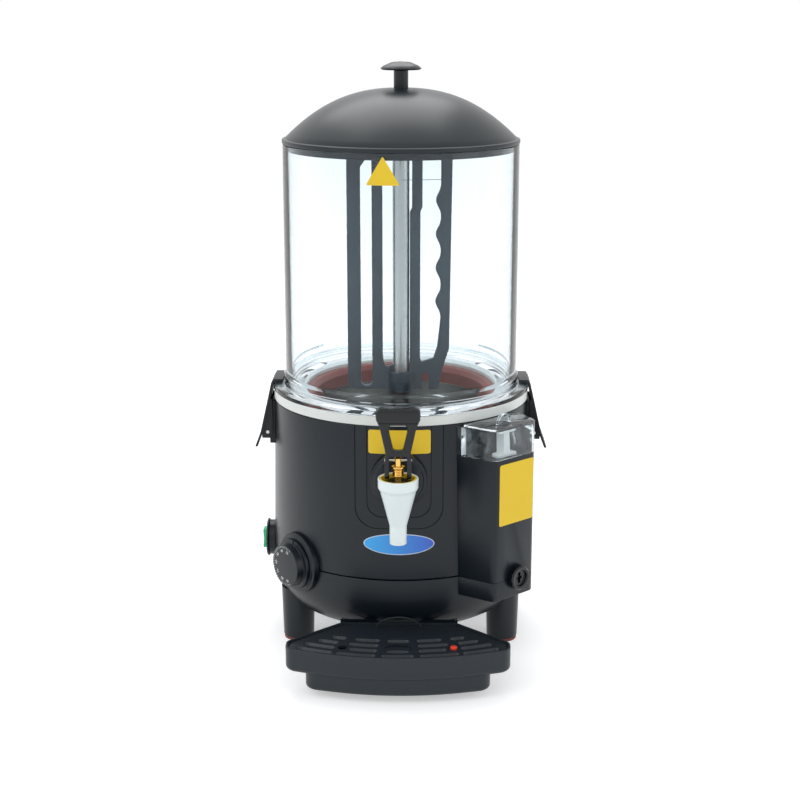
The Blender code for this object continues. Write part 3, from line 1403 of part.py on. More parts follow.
def main():
    start_scene()
    front = station("front_station", 0.0)
    left = station("left_station", -90.0)
    right = station("right_station", 90.0)
    rear = station("rear_station", 180.0)
    dial_stand = station("dial_station", dial_azimuth_deg)
    switch_stand = station("switch_station", switch_azimuth_deg)
    side = station("fill_box_station", box_azimuth_deg)
    black = material("satin_black_plastic", (0.022, 0.023, 0.025), 0.42)
    dark = material("gloss_black_plastic", (0.012, 0.012, 0.013), 0.25)
    steel = material("stainless_steel", (0.62, 0.62, 0.60), 0.28, 1.0)
    brass = material("brass", (0.72, 0.48, 0.16), 0.30, 1.0)
    rubber = material("black_rubber", (0.02, 0.02, 0.02), 0.75)
    pads = material("foot_rubber", (0.16, 0.05, 0.04), 0.70)
    red = material("gasket_silicone", (0.38, 0.07, 0.05), 0.50)
    float_red = material("float_red", (0.85, 0.06, 0.03), 0.35)
    white = material("white_plastic", (0.78, 0.79, 0.77), 0.35)
    clear = material("clear_polycarbonate", (0.90, 0.94, 0.97), 0.05, 0.0, 0.25)
    blade = material("agitator_plastic", (0.09, 0.11, 0.13), 0.45)
    yellow = material("seal_yellow", (0.86, 0.62, 0.02), 0.45)
    green = material("rocker_green", (0.01, 0.35, 0.12), 0.30)
    housings = (make_upper_housing(front, black), make_lower_housing(front, black))
    make_base(front, steel, pads)
    make_bowl_seat(front, white, red)
    make_bowl(front, clear)
    make_lid(front, black, steel)
    tank = make_pan_and_tank(front, steel)
    make_heater(front, steel, brass)
    make_drive(front, black, steel, blade)
    make_latch("left", left, black, steel)
    make_latch("right", right, black, steel)
    make_tap(front, dark, white, brass, yellow, rubber, steel)
    make_dial(dial_stand, black, steel)
    make_switch(switch_stand, black, green, clear)
    make_fill_box(side, front, black, clear, white, steel, tank, housings)
    make_gland(rear, dark)
    make_tray(front, black, float_red, steel)
    cut_wall_holes(housings, front, dial_stand, switch_stand, rear)
    for item in bpy.data.collections["hot_chocolate_dispenser"].objects:
        smooth(item)


main()
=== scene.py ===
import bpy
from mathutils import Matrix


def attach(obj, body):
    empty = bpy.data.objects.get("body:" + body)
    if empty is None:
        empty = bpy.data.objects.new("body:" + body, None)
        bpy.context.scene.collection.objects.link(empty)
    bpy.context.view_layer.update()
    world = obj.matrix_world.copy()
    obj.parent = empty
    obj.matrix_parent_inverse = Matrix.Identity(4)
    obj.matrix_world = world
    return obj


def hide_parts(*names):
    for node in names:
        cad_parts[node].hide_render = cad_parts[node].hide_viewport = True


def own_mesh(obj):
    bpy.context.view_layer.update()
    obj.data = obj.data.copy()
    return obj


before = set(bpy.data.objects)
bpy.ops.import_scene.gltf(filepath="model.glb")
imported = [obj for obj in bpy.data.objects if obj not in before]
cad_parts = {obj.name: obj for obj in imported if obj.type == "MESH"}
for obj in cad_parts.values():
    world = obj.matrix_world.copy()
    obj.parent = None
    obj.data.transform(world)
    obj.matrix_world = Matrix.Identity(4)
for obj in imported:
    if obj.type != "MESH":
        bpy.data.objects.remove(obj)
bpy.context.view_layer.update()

import math

import bmesh
import bpy
from mathutils import Matrix, Vector

# Studio: a white floor that keeps the machine's shadow, soft lamps to the left, right and
# above, and the camera where the photograph was taken from, just above the lid's height.
axis_y = 0.035
camera_distance = 1.5385
camera_height = 0.6351
camera_pitch_deg = 14.42
camera_azimuth_deg = 0.9
camera_lens_mm = 69.75
camera_shift_share = -0.00125
lamp_aim_z = 0.25
floor_half = 6.0
floor_grey = 0.80
floor_glow = 0.41
ambient_level = 0.78
lamps = (("key_lamp", (-1.6, -1.2, 1.5), 1.1, 8.0), ("fill_lamp", (1.9, -0.9, 0.9), 1.1, 5.0),
         ("top_lamp", (-0.15, 1.1, 2.2), 1.7, 26.0), ("front_lamp", (0.1, -1.6, 2.2), 1.2, 2.5))


def link(item):
    bpy.context.scene.collection.objects.link(item)
    return item


lens = bpy.data.cameras.new("camera")
lens.lens = camera_lens_mm
lens.sensor_width = 36.0
lens.shift_x = camera_shift_share
camera = link(bpy.data.objects.new("camera", lens))
swing = math.radians(camera_azimuth_deg)
camera.location = (camera_distance * math.sin(swing), axis_y - camera_distance * math.cos(swing),
                   camera_height)
camera.rotation_euler = (math.radians(90.0 - camera_pitch_deg), 0.0, swing)
bpy.context.scene.camera = camera
bpy.context.scene.view_settings.view_transform = "Standard"

for lamp_name, place, size, power in lamps:
    glow = bpy.data.lights.new(lamp_name, "AREA")
    glow.size = size
    glow.energy = power
    lamp = link(bpy.data.objects.new(lamp_name, glow))
    lamp.location = place
    aim = Vector((0.0, axis_y, lamp_aim_z)) - Vector(place)
    lamp.rotation_euler = aim.to_track_quat("-Z", "Y").to_euler()


def seen_directly(nodes, links):
    """1 for camera, glossy and transmission rays, which see the plain white studio."""
    path = nodes.new("ShaderNodeLightPath")
    total = path.outputs["Is Camera Ray"]
    for ray in ("Is Glossy Ray", "Is Transmission Ray"):
        either = nodes.new("ShaderNodeMath")
        either.operation = "MAXIMUM"
        links.new(total, either.inputs[0])
        links.new(path.outputs[ray], either.inputs[1])
        total = either.outputs[0]
    return total


sky = bpy.data.worlds.new("studio")
bpy.context.scene.world = sky
sky.use_nodes = True
nodes, links = sky.node_tree.nodes, sky.node_tree.links
nodes.clear()
ambient, white = nodes.new("ShaderNodeBackground"), nodes.new("ShaderNodeBackground")
ambient.inputs["Strength"].default_value = ambient_level
ambient.inputs["Color"].default_value = (0.96, 0.98, 1.0, 1.0)
white.inputs["Color"].default_value = (1.0, 1.0, 1.0, 1.0)
blend = nodes.new("ShaderNodeMixShader")
links.new(seen_directly(nodes, links), blend.inputs["Fac"])
links.new(ambient.outputs[0], blend.inputs[1])
links.new(white.outputs[0], blend.inputs[2])
links.new(blend.outputs[0], nodes.new("ShaderNodeOutputWorld").inputs["Surface"])

floor_mesh = bpy.data.meshes.new("floor")
floor_mesh.from_pydata([(-floor_half, -floor_half, 0.0), (floor_half, -floor_half, 0.0),
                        (floor_half, floor_half, 0.0), (-floor_half, floor_half, 0.0)], [],
                       [(0, 1, 2, 3)])
floor = link(bpy.data.objects.new("floor", floor_mesh))
paper = bpy.data.materials.new("studio_floor")
paper.use_nodes = True
nodes, links = paper.node_tree.nodes, paper.node_tree.links
nodes.clear()
plain, lit = nodes.new("ShaderNodeBsdfDiffuse"), nodes.new("ShaderNodeEmission")
plain.inputs["Color"].default_value = (floor_grey, floor_grey, floor_grey, 1.0)
lit.inputs["Color"].default_value = (1.0, 1.0, 1.0, 1.0)
share = nodes.new("ShaderNodeMath")
share.operation = "MULTIPLY"
share.inputs[1].default_value = floor_glow
links.new(seen_directly(nodes, links), share.inputs[0])
links.new(share.outputs[0], lit.inputs["Strength"])
both = nodes.new("ShaderNodeAddShader")
links.new(plain.outputs[0], both.inputs[0])
links.new(lit.outputs[0], both.inputs[1])
links.new(both.outputs[0], nodes.new("ShaderNodeOutputMaterial").inputs["Surface"])
floor.data.materials.append(paper)

# Body shells: two black polypropylene mouldings that meet at a seam low on the body. The upper
# one has a stepped panel round the tap, and the lower one a rounded base, a notch and a low
# apron for the tray, and four moulded feet.
body_top_z = 0.2464
body_seam_z = 0.0930
body_base_z = 0.0300
body_top_radius = 0.1285
body_seam_radius = 0.1315
wall_slope = (body_seam_radius - body_top_radius) / (body_top_z - body_seam_z)
shell_wall = 0.0030
body_mouth_radius = 0.1090
base_mouth_radius = 0.0800
foot_top_z = 0.0560
foot_bottom_z = 0.0033
seam_groove = 0.0005
base_round = 0.0420
turning_steps = 180
cutter_reach = 0.02
above_body_z = 0.26
foot_spots = [(side_x, side_y) for side_x in (-0.1045, 0.1045) for side_y in (-0.047, 0.047)]


def detail_group():
    """Fine moulding grain with wide handling marks in its tone and shine."""
    tree = bpy.data.node_groups.new("surface_detail", "ShaderNodeTree")
    inputs = (("Place", "NodeSocketVector"), ("Colour", "NodeSocketColor"),
              ("Colour Spread", "NodeSocketFloat"), ("Roughness", "NodeSocketFloat"),
              ("Roughness Spread", "NodeSocketFloat"), ("Grain Scale", "NodeSocketFloat"),
              ("Mark Scale", "NodeSocketFloat"))
    for label, kind in inputs:
        tree.interface.new_socket(name=label, in_out="INPUT", socket_type=kind)
    outputs = (("Colour", "NodeSocketColor"), ("Roughness", "NodeSocketFloat"),
               ("Height", "NodeSocketFloat"))
    for label, kind in outputs:
        tree.interface.new_socket(name=label, in_out="OUTPUT", socket_type=kind)
    nodes, links = tree.nodes, tree.links
    given, made = nodes.new("NodeGroupInput"), nodes.new("NodeGroupOutput")

    def noise(scale_name, detail):
        texture = nodes.new("ShaderNodeTexNoise")
        texture.inputs["Detail"].default_value = detail
        links.new(given.outputs["Place"], texture.inputs["Vector"])
        links.new(given.outputs[scale_name], texture.inputs["Scale"])
        return texture.outputs["Fac"]

    def sum_of(operation, first, second):
        step = nodes.new("ShaderNodeMath")
        step.operation = operation
        for socket, value in zip(step.inputs, (first, second)):
            if isinstance(value, float):
                socket.default_value = value
            else:
                links.new(value, socket)
        return step.outputs[0]

    grain, marks = noise("Grain Scale", 3.0), noise("Mark Scale", 5.0)
    centred = sum_of("MULTIPLY", sum_of("SUBTRACT", marks, 0.5), 2.0)
    speck = sum_of("MULTIPLY", sum_of("SUBTRACT", grain, 0.5), 0.6)
    mixed = sum_of("ADD", centred, speck)
    gain = sum_of("ADD", sum_of("MULTIPLY", mixed, given.outputs["Colour Spread"]), 1.0)
    tone = nodes.new("ShaderNodeVectorMath")
    tone.operation = "SCALE"
    links.new(given.outputs["Colour"], tone.inputs[0])
    links.new(gain, tone.inputs["Scale"])
    links.new(tone.outputs[0], made.inputs["Colour"])
    shift = sum_of("MULTIPLY", mixed, given.outputs["Roughness Spread"])
    shine = sum_of("ADD", shift, given.outputs["Roughness"])
    links.new(sum_of("MAXIMUM", shine, 0.02), made.inputs["Roughness"])
    links.new(grain, made.inputs["Height"])
    return tree


surface_detail = detail_group()


def finish(name, colour, roughness, grain=700.0, marks=12.0, colour_spread=0.05,
           roughness_spread=0.05, depth=0.00004, metallic=0.0, coat=0.0, stretch=(1.0, 1.0, 1.0),
           gloss=0.5):
    """A material whose tone, shine and relief come from the shared surface detail."""
    paint = bpy.data.materials.new(name)
    paint.use_nodes = True
    nodes, links = paint.node_tree.nodes, paint.node_tree.links
    shader = nodes["Principled BSDF"]
    shader.inputs["Metallic"].default_value = metallic
    shader.inputs["Coat Weight"].default_value = coat
    shader.inputs["Specular IOR Level"].default_value = gloss
    where, turn = nodes.new("ShaderNodeTexCoord"), nodes.new("ShaderNodeMapping")
    turn.inputs["Scale"].default_value = stretch
    links.new(where.outputs["Object"], turn.inputs["Vector"])
    detail = nodes.new("ShaderNodeGroup")
    detail.node_tree = surface_detail
    links.new(turn.outputs["Vector"], detail.inputs["Place"])
    detail.inputs["Colour"].default_value = (*colour, 1.0)
    values = (("Colour Spread", colour_spread), ("Roughness", roughness),
              ("Roughness Spread", roughness_spread), ("Grain Scale", grain), ("Mark Scale", marks))
    for label, value in values:
        detail.inputs[label].default_value = value
    relief = nodes.new("ShaderNodeBump")
    relief.inputs["Strength"].default_value = 0.6
    relief.inputs["Distance"].default_value = depth
    links.new(detail.outputs["Height"], relief.inputs["Height"])
    links.new(detail.outputs["Colour"], shader.inputs["Base Color"])
    links.new(detail.outputs["Roughness"], shader.inputs["Roughness"])
    links.new(relief.outputs["Normal"], shader.inputs["Normal"])
    return paint


def rounded(corners, steps=5):
    """Outline points of a polygon whose corners (x, y, radius) are rounded off."""
    outline = []
    for index, (x, y, radius) in enumerate(corners):
        here = Vector((x, y))
        if radius == 0.0:
            outline.append((x, y))
            continue
        before = (Vector(corners[index - 1][:2]) - here).normalized()
        after = (Vector(corners[(index + 1) % len(corners)][:2]) - here).normalized()
        half = before.angle(after) / 2
        middle = here + (before + after).normalized() * (radius / math.sin(half))
        first = here + before * (radius / math.tan(half)) - middle
        last = here + after * (radius / math.tan(half)) - middle
        turn = last.angle_signed(first)
        for step in range(steps + 1):
            angle = turn * step / steps
            cosine, sine = math.cos(angle), math.sin(angle)
            outline.append((middle.x + first.x * cosine - first.y * sine,
                            middle.y + first.x * sine + first.y * cosine))
    return outline


def wall_place(azimuth_deg=0.0, reach=0.0, side=0.0, z=0.0, facing=False):
    """A place on the machine: its own -Y points outwards, or its own Z does if it is facing."""
    place = Matrix.Translation((0.0, axis_y, 0.0)) @ Matrix.Rotation(math.radians(azimuth_deg), 4, "Z")
    place = place @ Matrix.Translation((side, -reach, z))
    return place @ Matrix.Rotation(math.radians(90.0), 4, "X") if facing else place


def solid_from(name, shape, place, merge=True):
    """A linked object with its place in its mesh, doubles merged and faces turned outwards."""
    if merge:
        bmesh.ops.remove_doubles(shape, verts=shape.verts, dist=0.000002)
    bmesh.ops.transform(shape, matrix=place, verts=shape.verts)
    bmesh.ops.recalc_face_normals(shape, faces=shape.faces)
    mesh = bpy.data.meshes.new(name)
    shape.to_mesh(mesh)
    shape.free()
    return link(bpy.data.objects.new(name, mesh))


def turned(name, corners, place, steps=turning_steps, arc_steps=5):
    """A solid of revolution about its place's Z from (radius, height, rounding) corners."""
    outline = rounded(corners, arc_steps)
    shape = bmesh.new()
    ring = [shape.verts.new((radius, 0.0, height)) for radius, height in outline]
    pairs = list(zip(ring, ring[1:]))
    if outline[0][0] != 0.0:
        pairs.append((ring[-1], ring[0]))
    edges = [shape.edges.new(pair) for pair in pairs]
    bmesh.ops.spin(shape, geom=ring + edges, cent=(0.0, 0.0, 0.0), axis=(0.0, 0.0, 1.0),
                   angle=2 * math.pi, steps=steps)
    bmesh.ops.dissolve_degenerate(shape, dist=0.000001, edges=shape.edges)
    return solid_from(name, shape, place)


def rod(name, radius, low, high, place, steps=64, ease=0.0):
    """A plain round rod, or a cutter for a bore, between two heights on its place's Z."""
    return turned(name, [(0.0, high, 0.0), (radius, high, ease), (radius, low, ease), (0.0, low, 0.0)],
                  place, steps)


def plain_mesh(item):
    """The mesh that an object shows once its modifiers or its curve are worked out."""
    bpy.context.view_layer.update()
    return bpy.data.meshes.new_from_object(item.evaluated_get(bpy.context.evaluated_depsgraph_get()))


enlargement = 1000.0


def flat_piece(name, outlines, low, high, ease, place, ease_steps=2):
    """A flat outline with its holes, made solid between two heights, its edges eased.

    It is drawn in millimetres, because a curve's fill drops points that lie very close.
    """
    drawn = bpy.data.curves.new(name, "CURVE")
    drawn.dimensions = "2D"
    drawn.fill_mode = "BOTH"
    drawn.extrude = ((high - low) / 2 - ease) * enlargement
    drawn.bevel_depth = ease * enlargement
    drawn.offset = -ease * enlargement
    drawn.bevel_resolution = ease_steps
    for outline in outlines:
        spline = drawn.splines.new("POLY")
        spline.points.add(len(outline) - 1)
        for point, (x, y) in zip(spline.points, outline):
            point.co = (x * enlargement, y * enlargement, 0.0, 1.0)
        spline.use_cyclic_u = True
    guide = link(bpy.data.objects.new(name + "_outline", drawn))
    mesh = plain_mesh(guide)
    shape = bmesh.new()
    shape.from_mesh(mesh)
    bpy.data.objects.remove(guide, do_unlink=True)
    bpy.data.meshes.remove(mesh)
    bmesh.ops.scale(shape, vec=(1 / enlargement, 1 / enlargement, 1 / enlargement), verts=shape.verts)
    return solid_from(name, shape, place @ Matrix.Translation((0.0, 0.0, (low + high) / 2)))


def box_piece(name, low, high, place, ease=0.0):
    outline = rounded([(low[0], low[1], ease), (high[0], low[1], ease), (high[0], high[1], ease),
                       (low[0], high[1], ease)]) if ease else [
        (low[0], low[1]), (high[0], low[1]), (high[0], high[1]), (low[0], high[1])]
    return flat_piece(name, [outline], low[2], high[2], ease / 2, place)


def carved(piece, *tools, operation="DIFFERENCE"):
    """The piece with the tools cut from it, joined to it or kept in common, made a plain mesh."""
    for tool in tools:
        step = piece.modifiers.new("carve", "BOOLEAN")
        step.solver = "EXACT"
        step.operation = operation
        step.object = tool
        mesh = plain_mesh(piece)
        piece.modifiers.clear()
        old, piece.data = piece.data, mesh
        bpy.data.meshes.remove(old)
        bpy.data.objects.remove(tool, do_unlink=True)
    return piece


def settled(piece, paint, body, slot, *nodes, sharp_deg=30.0):
    """Paints and shades a finished piece, hangs it on its body and hides the imported nodes it replaces;
    the slot is not used.
    """
    piece.data.materials.clear()
    piece.data.materials.append(paint)
    piece.data.shade_smooth()
    piece.data.set_sharp_from_angle(angle=math.radians(sharp_deg))
    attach(piece, body)
    if nodes:
        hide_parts(*nodes)
    return piece


def wall_radius(z):
    return body_top_radius + (body_top_z - z) * wall_slope


def wall_volume(name, offset, low_z, high_z, inner_radius=0.0):
    """The body's outer shape grown by an offset, for seating what is fixed to its wall."""
    corners = [(inner_radius, high_z, 0.0), (wall_radius(body_top_z) + offset, high_z, 0.0),
               (wall_radius(body_top_z) + offset, body_top_z, 0.0),
               (wall_radius(body_base_z) + offset, body_base_z - offset, base_round + offset),
               (inner_radius, body_base_z - offset, 0.0)]
    if low_z > body_base_z + base_round:
        corners[3] = (wall_radius(low_z) + offset, low_z, 0.0)
        corners[4] = (inner_radius, low_z, 0.0)
    return turned(name, corners, wall_place(), arc_steps=16)


black_plastic = finish("satin_black_body", (0.0035, 0.0075, 0.0120), 0.33, grain=1500.0, marks=9.0,
                       colour_spread=0.10, roughness_spread=0.06, depth=0.00003, gloss=0.36)
seat_z = body_seam_z + seam_groove
upper_shell = turned("upper_shell", [
    (body_mouth_radius, body_top_z, 0.0004), (body_top_radius, body_top_z, 0.0015),
    (wall_radius(seat_z), seat_z, 0.0008), (wall_radius(seat_z) - shell_wall, seat_z, 0.0),
    (body_top_radius - shell_wall, body_top_z - shell_wall, 0.0004),
    (body_mouth_radius, body_top_z - shell_wall, 0.0004)], wall_place())
for half, bottom, corner, depth in ((0.0425, 0.1450, 0.0200, 0.0009), (0.0310, 0.1563, 0.0140, 0.0019)):
    outline = rounded([(-half, bottom, corner), (half, bottom, corner),
                       (half, body_top_z + shell_wall, 0.0), (-half, body_top_z + shell_wall, 0.0)], 12)
    recess = flat_piece("recess", [outline], body_top_radius - cutter_reach,
                        body_seam_radius + cutter_reach, 0.0, wall_place(facing=True))
    recess = carved(recess, wall_volume("recess_floor", -depth, body_seam_z, above_body_z))
    carved(upper_shell, recess)
settled(upper_shell, black_plastic, "machine", "satin_black_plastic", "upper_housing")

seat_z = body_seam_z - seam_groove
lower_shell = turned("lower_shell", [
    (wall_radius(seat_z), seat_z, 0.0008), (wall_radius(body_base_z), body_base_z, base_round),
    (base_mouth_radius, body_base_z, 0.0004), (base_mouth_radius, body_base_z + shell_wall, 0.0),
    (wall_radius(body_base_z) - shell_wall, body_base_z + shell_wall, base_round - shell_wall),
    (wall_radius(seat_z) - shell_wall, seat_z, 0.0)], wall_place(), arc_steps=16)
inner_form = wall_volume("inner_form", -shell_wall / 2, 0.0, body_top_z)
for side_x, side_y in foot_spots:
    foot = turned("foot", [(0.0, foot_top_z, 0.0), (0.0170, foot_top_z, 0.0),
                           (0.0155, foot_bottom_z, 0.0012), (0.0, foot_bottom_z, 0.0)],
                  wall_place(side=side_x, reach=-side_y), 64)
    copy = link(bpy.data.objects.new("foot_trim", inner_form.data.copy()))
    carved(lower_shell, carved(foot, copy), operation="UNION")
bpy.data.objects.remove(inner_form, do_unlink=True)
carved(lower_shell, box_piece("notch", (-0.057, -0.140, 0.020), (0.057, -0.076, 0.045),
                              wall_place()))
carved(lower_shell, box_piece("tray_apron", (-0.0574, -0.1222, 0.0300), (0.0574, -0.1204, 0.0486),
                              wall_place()), operation="UNION")
for side in (-1, 1):
    edges = sorted((side * 0.0225, side * 0.0375))
    carved(lower_shell, box_piece("arm_way", (edges[0], -0.1300, 0.0355), (edges[1], -0.1100, 0.0407),
                                  wall_place()))
settled(lower_shell, black_plastic, "machine", "satin_black_plastic", "lower_housing")

# Foot pads: discs of red-brown rubber glued under the four moulded feet. They stand on the
# floor and keep the machine from sliding when the tap is pulled.
pad_radius = 0.0148
pad_height = 0.0030
pad_rubber = finish("foot_rubber", (0.20, 0.055, 0.040), 0.75, grain=2200.0, depth=0.00006)
for index, (side_x, side_y) in enumerate(foot_spots):
    pad = turned(f"rubber_pad_{index + 1}", [
        (0.0, pad_height, 0.0), (pad_radius, pad_height, 0.0006), (pad_radius, 0.0, 0.0006),
        (0.0, 0.0, 0.0)], wall_place(side=side_x, reach=-side_y), 64, 3)
    settled(pad, pad_rubber, "machine", "foot_rubber", f"foot_pad_{index + 1}")

# Labels and badge: a plain yellow label behind the tap's handle and a plain blue badge behind
# its spout, both thin film that follows the wall. They carry no words.
label_film = 0.00025
badge_fade_half = 0.034
label_yellow = finish("label_yellow", (0.83, 0.57, 0.030), 0.45, grain=300.0, marks=30.0,
                      colour_spread=0.03, depth=0.00001, gloss=0.3)
badge_blue = finish("badge_blue", (0.012, 0.24, 0.72), 0.22, grain=200.0, marks=18.0,
                    colour_spread=0.12, depth=0.000005, coat=0.4)
shade, spread = badge_blue.node_tree.nodes, badge_blue.node_tree.links
side_to_side, across = shade.new("ShaderNodeSeparateXYZ"), shade.new("ShaderNodeMapRange")
across.inputs["From Min"].default_value = -badge_fade_half
across.inputs["From Max"].default_value = badge_fade_half
fade = shade.new("ShaderNodeMix")
fade.data_type = "RGBA"
fade.inputs["A"].default_value = (0.006, 0.40, 0.88, 1.0)
fade.inputs["B"].default_value = (0.010, 0.085, 0.58, 1.0)
spread.new(shade["Texture Coordinate"].outputs["Object"], side_to_side.inputs["Vector"])
spread.new(side_to_side.outputs["X"], across.inputs["Value"])
spread.new(across.outputs["Result"], fade.inputs["Factor"])
spread.new(fade.outputs["Result"], shade["Group"].inputs["Colour"])
badge_rim = finish("badge_rim", (0.55, 0.66, 0.78), 0.30, grain=400.0, depth=0.000005)


def wall_film(name, outline, floor_offset, thickness):
    """A thin film that lies on the wall, cut to an outline seen square on from outside."""
    film = flat_piece(name, [outline], body_top_radius - cutter_reach, body_seam_radius + cutter_reach,
                      0.0, wall_place(facing=True))
    carved(film, wall_volume("film_face", floor_offset + thickness, body_seam_z, above_body_z),
           operation="INTERSECT")
    return carved(film, wall_volume("film_back", floor_offset, body_seam_z - 0.01, above_body_z + 0.01))


front_label = wall_film("front_label", rounded([
    (-0.0292, 0.2192, 0.0022), (0.0302, 0.2192, 0.0022), (0.0302, 0.2424, 0.0022),
    (-0.0292, 0.2424, 0.0022)]), -0.0018, label_film)
settled(front_label, label_yellow, "machine", "yellow_plastic")


def oval(centre_x, centre_y, half_width, half_height, steps=64):
    turns = [2 * math.pi * step / steps for step in range(steps)]
    return [(centre_x + half_width * math.cos(turn), centre_y + half_height * math.sin(turn))
            for turn in turns]


badge_z = 0.1298
badge_half = (0.0342, 0.0106)
border = 0.0009
badge_ring = wall_film("badge_border", oval(0.0, badge_z, *badge_half), 0.0001, label_film)
settled(badge_ring, badge_rim, "machine", "white_plastic")
badge_face = wall_film("badge_face", oval(0.0, badge_z, badge_half[0] - border, badge_half[1] - border),
                       0.0003, label_film)
settled(badge_face, badge_blue, "machine", "white_plastic")

# Bowl seat: a white ring on the body's top edge and the brick red silicone gasket inside it.
# The gasket closes the bowl's foot onto the heated pan.
ring_white = finish("ring_white", (0.74, 0.76, 0.73), 0.42, grain=600.0, depth=0.00002)
rim_ring = turned("white_ring", [
    (0.1290, 0.2561, 0.0004), (0.1290, 0.2467, 0.0006), (0.1182, 0.2467, 0.0), (0.1182, 0.2482, 0.0),
    (0.0985, 0.2482, 0.0), (0.0985, 0.2530, 0.0010), (0.1150, 0.2561, 0.0010)], wall_place())
settled(rim_ring, ring_white, "machine", "white_plastic", "rim_ring")
gasket_red = finish("gasket_red", (0.23, 0.045, 0.032), 0.50, grain=900.0, marks=16.0,
                    colour_spread=0.10, depth=0.00004)
gasket = turned("silicone_gasket", [
    (0.0982, 0.2500, 0.0008), (0.0982, 0.2482, 0.0), (0.0917, 0.2482, 0.0), (0.0917, 0.2329, 0.0),
    (0.0885, 0.2329, 0.0008), (0.0885, 0.2450, 0.0010), (0.0925, 0.2500, 0.0020)], wall_place())
settled(gasket, gasket_red, "machine", "gasket_silicone", "bowl_gasket")

# Bowl: one clear polycarbonate cylinder with a bead, a neck and a flange at its foot. The
# latches hold the flange down on the white ring.
bowl_top_z = 0.5006


def clear_finish(name, tint, edge_tint, roughness, index, marks=20.0, depth=0.00002):
    """Clear moulded plastic that lets the lamps through to what is behind it."""
    paint = finish(name, tint, roughness, grain=260.0, marks=marks, colour_spread=0.01,
                   roughness_spread=0.015, depth=depth)
    nodes, links = paint.node_tree.nodes, paint.node_tree.links
    shader = nodes["Principled BSDF"]
    shader.inputs["Transmission Weight"].default_value = 1.0
    shader.inputs["IOR"].default_value = index
    detail = shader.inputs["Base Color"].links[0].from_node
    rim, tone = nodes.new("ShaderNodeLayerWeight"), nodes.new("ShaderNodeMix")
    rim.inputs["Blend"].default_value = 0.28
    tone.data_type = "RGBA"
    tone.inputs["A"].default_value = (*tint, 1.0)
    tone.inputs["B"].default_value = (*edge_tint, 1.0)
    links.new(rim.outputs["Facing"], tone.inputs["Factor"])
    links.new(tone.outputs["Result"], detail.inputs["Colour"])
    clear, path = nodes.new("ShaderNodeBsdfTransparent"), nodes.new("ShaderNodeLightPath")
    clear.inputs["Color"].default_value = (0.93, 0.95, 0.97, 1.0)
    either = nodes.new("ShaderNodeMixShader")
    links.new(path.outputs["Is Shadow Ray"], either.inputs["Fac"])
    links.new(shader.outputs[0], either.inputs[1])
    links.new(clear.outputs[0], either.inputs[2])
    links.new(either.outputs[0], nodes["Material Output"].inputs["Surface"])
    return paint


bowl_clear = clear_finish("bowl_polycarbonate", (0.870, 0.925, 0.955), (0.97, 0.985, 1.0), 0.02, 1.28)
bowl = turned("clear_bowl", [
    (0.1133, bowl_top_z, 0.0008), (0.1165, bowl_top_z, 0.0008), (0.1170, 0.2742, 0.0030),
    (0.1188, 0.2708, 0.0010), (0.1188, 0.2664, 0.0010), (0.1177, 0.2655, 0.0006),
    (0.1177, 0.2613, 0.0012), (0.1296, 0.2613, 0.0010), (0.1296, 0.2564, 0.0004),
    (0.0990, 0.2564, 0.0004), (0.0990, 0.2576, 0.0004), (0.1133, 0.2592, 0.0040)], wall_place(), 240)
settled(bowl, bowl_clear, "machine", "clear_plastic", "bowl")

# Level mark and sticker: a thin dark fill line printed on the bowl, and a plain yellow
# three-cornered sticker beside it. Both are bare of words and signs.
print_grey = finish("print_grey", (0.05, 0.05, 0.06), 0.5, grain=300.0, depth=0.000005)


def bowl_film(name, outline, thickness):
    """A thin film that lies on the bowl, cut to an outline seen square on from outside."""
    film = flat_piece(name, [outline], 0.09, 0.14, 0.0, wall_place(facing=True))
    forms = []
    for part, grown, low, high in (("film_face", thickness, 0.28, 0.52), ("film_back", 0.0, 0.27, 0.53)):
        forms.append(turned(part, [(0.0, high, 0.0), (0.1166 + grown, high, 0.0),
                                   (0.1171 + grown, low, 0.0), (0.0, low, 0.0)], wall_place(), 240))
    return carved(carved(film, forms[0], operation="INTERSECT"), forms[1])


sticker = bowl_film("yellow_sticker", rounded([
    (-0.0308, 0.4718, 0.0010), (0.0008, 0.4718, 0.0010), (-0.0150, 0.4985, 0.0010)], 4), 0.0002)
settled(sticker, label_yellow, "machine", "yellow_plastic")
level_line = bowl_film("level_line", [(0.0020, 0.4768), (0.0420, 0.4768), (0.0420, 0.4773),
                                      (0.0020, 0.4773)], 0.0001)
settled(level_line, print_grey, "machine", "satin_black_plastic")

# Pan, tank and centre tube: the drink's heated floor is a stainless pan in a water tank, and a
# fixed stainless tube comes up through both to carry the agitator's shaft.
steel = finish("brushed_steel", (0.46, 0.47, 0.46), 0.22, grain=900.0, marks=60.0,
               colour_spread=0.05, roughness_spread=0.05, depth=0.000004, metallic=1.0,
               stretch=(1.0, 1.0, 0.06))
pan = turned("heated_pan", [
    (0.1179, 0.2479, 0.0), (0.1179, 0.2467, 0.0), (0.0932, 0.2467, 0.0010), (0.0932, 0.1860, 0.0060),
    (0.0088, 0.1860, 0.0), (0.0088, 0.1872, 0.0), (0.0920, 0.1872, 0.0048), (0.0920, 0.2479, 0.0010)],
    wall_place())
outlet_place = wall_place(z=0.1950, facing=True)
carved(pan, rod("pan_outlet", 0.0093, 0.085, 0.110, outlet_place, 48))
settled(pan, steel, "machine", "stainless_steel", "heating_pan")
centre_tube = turned("steel_tube", [
    (0.0085, 0.5030, 0.0005), (0.0085, 0.1918, 0.0), (0.0120, 0.1918, 0.0005), (0.0120, 0.1875, 0.0),
    (0.0085, 0.1875, 0.0), (0.0085, 0.1420, 0.0005), (0.0070, 0.1420, 0.0), (0.0070, 0.5030, 0.0)],
    wall_place(), 64)
settled(centre_tube, steel, "machine", "stainless_steel", "centre_tube")

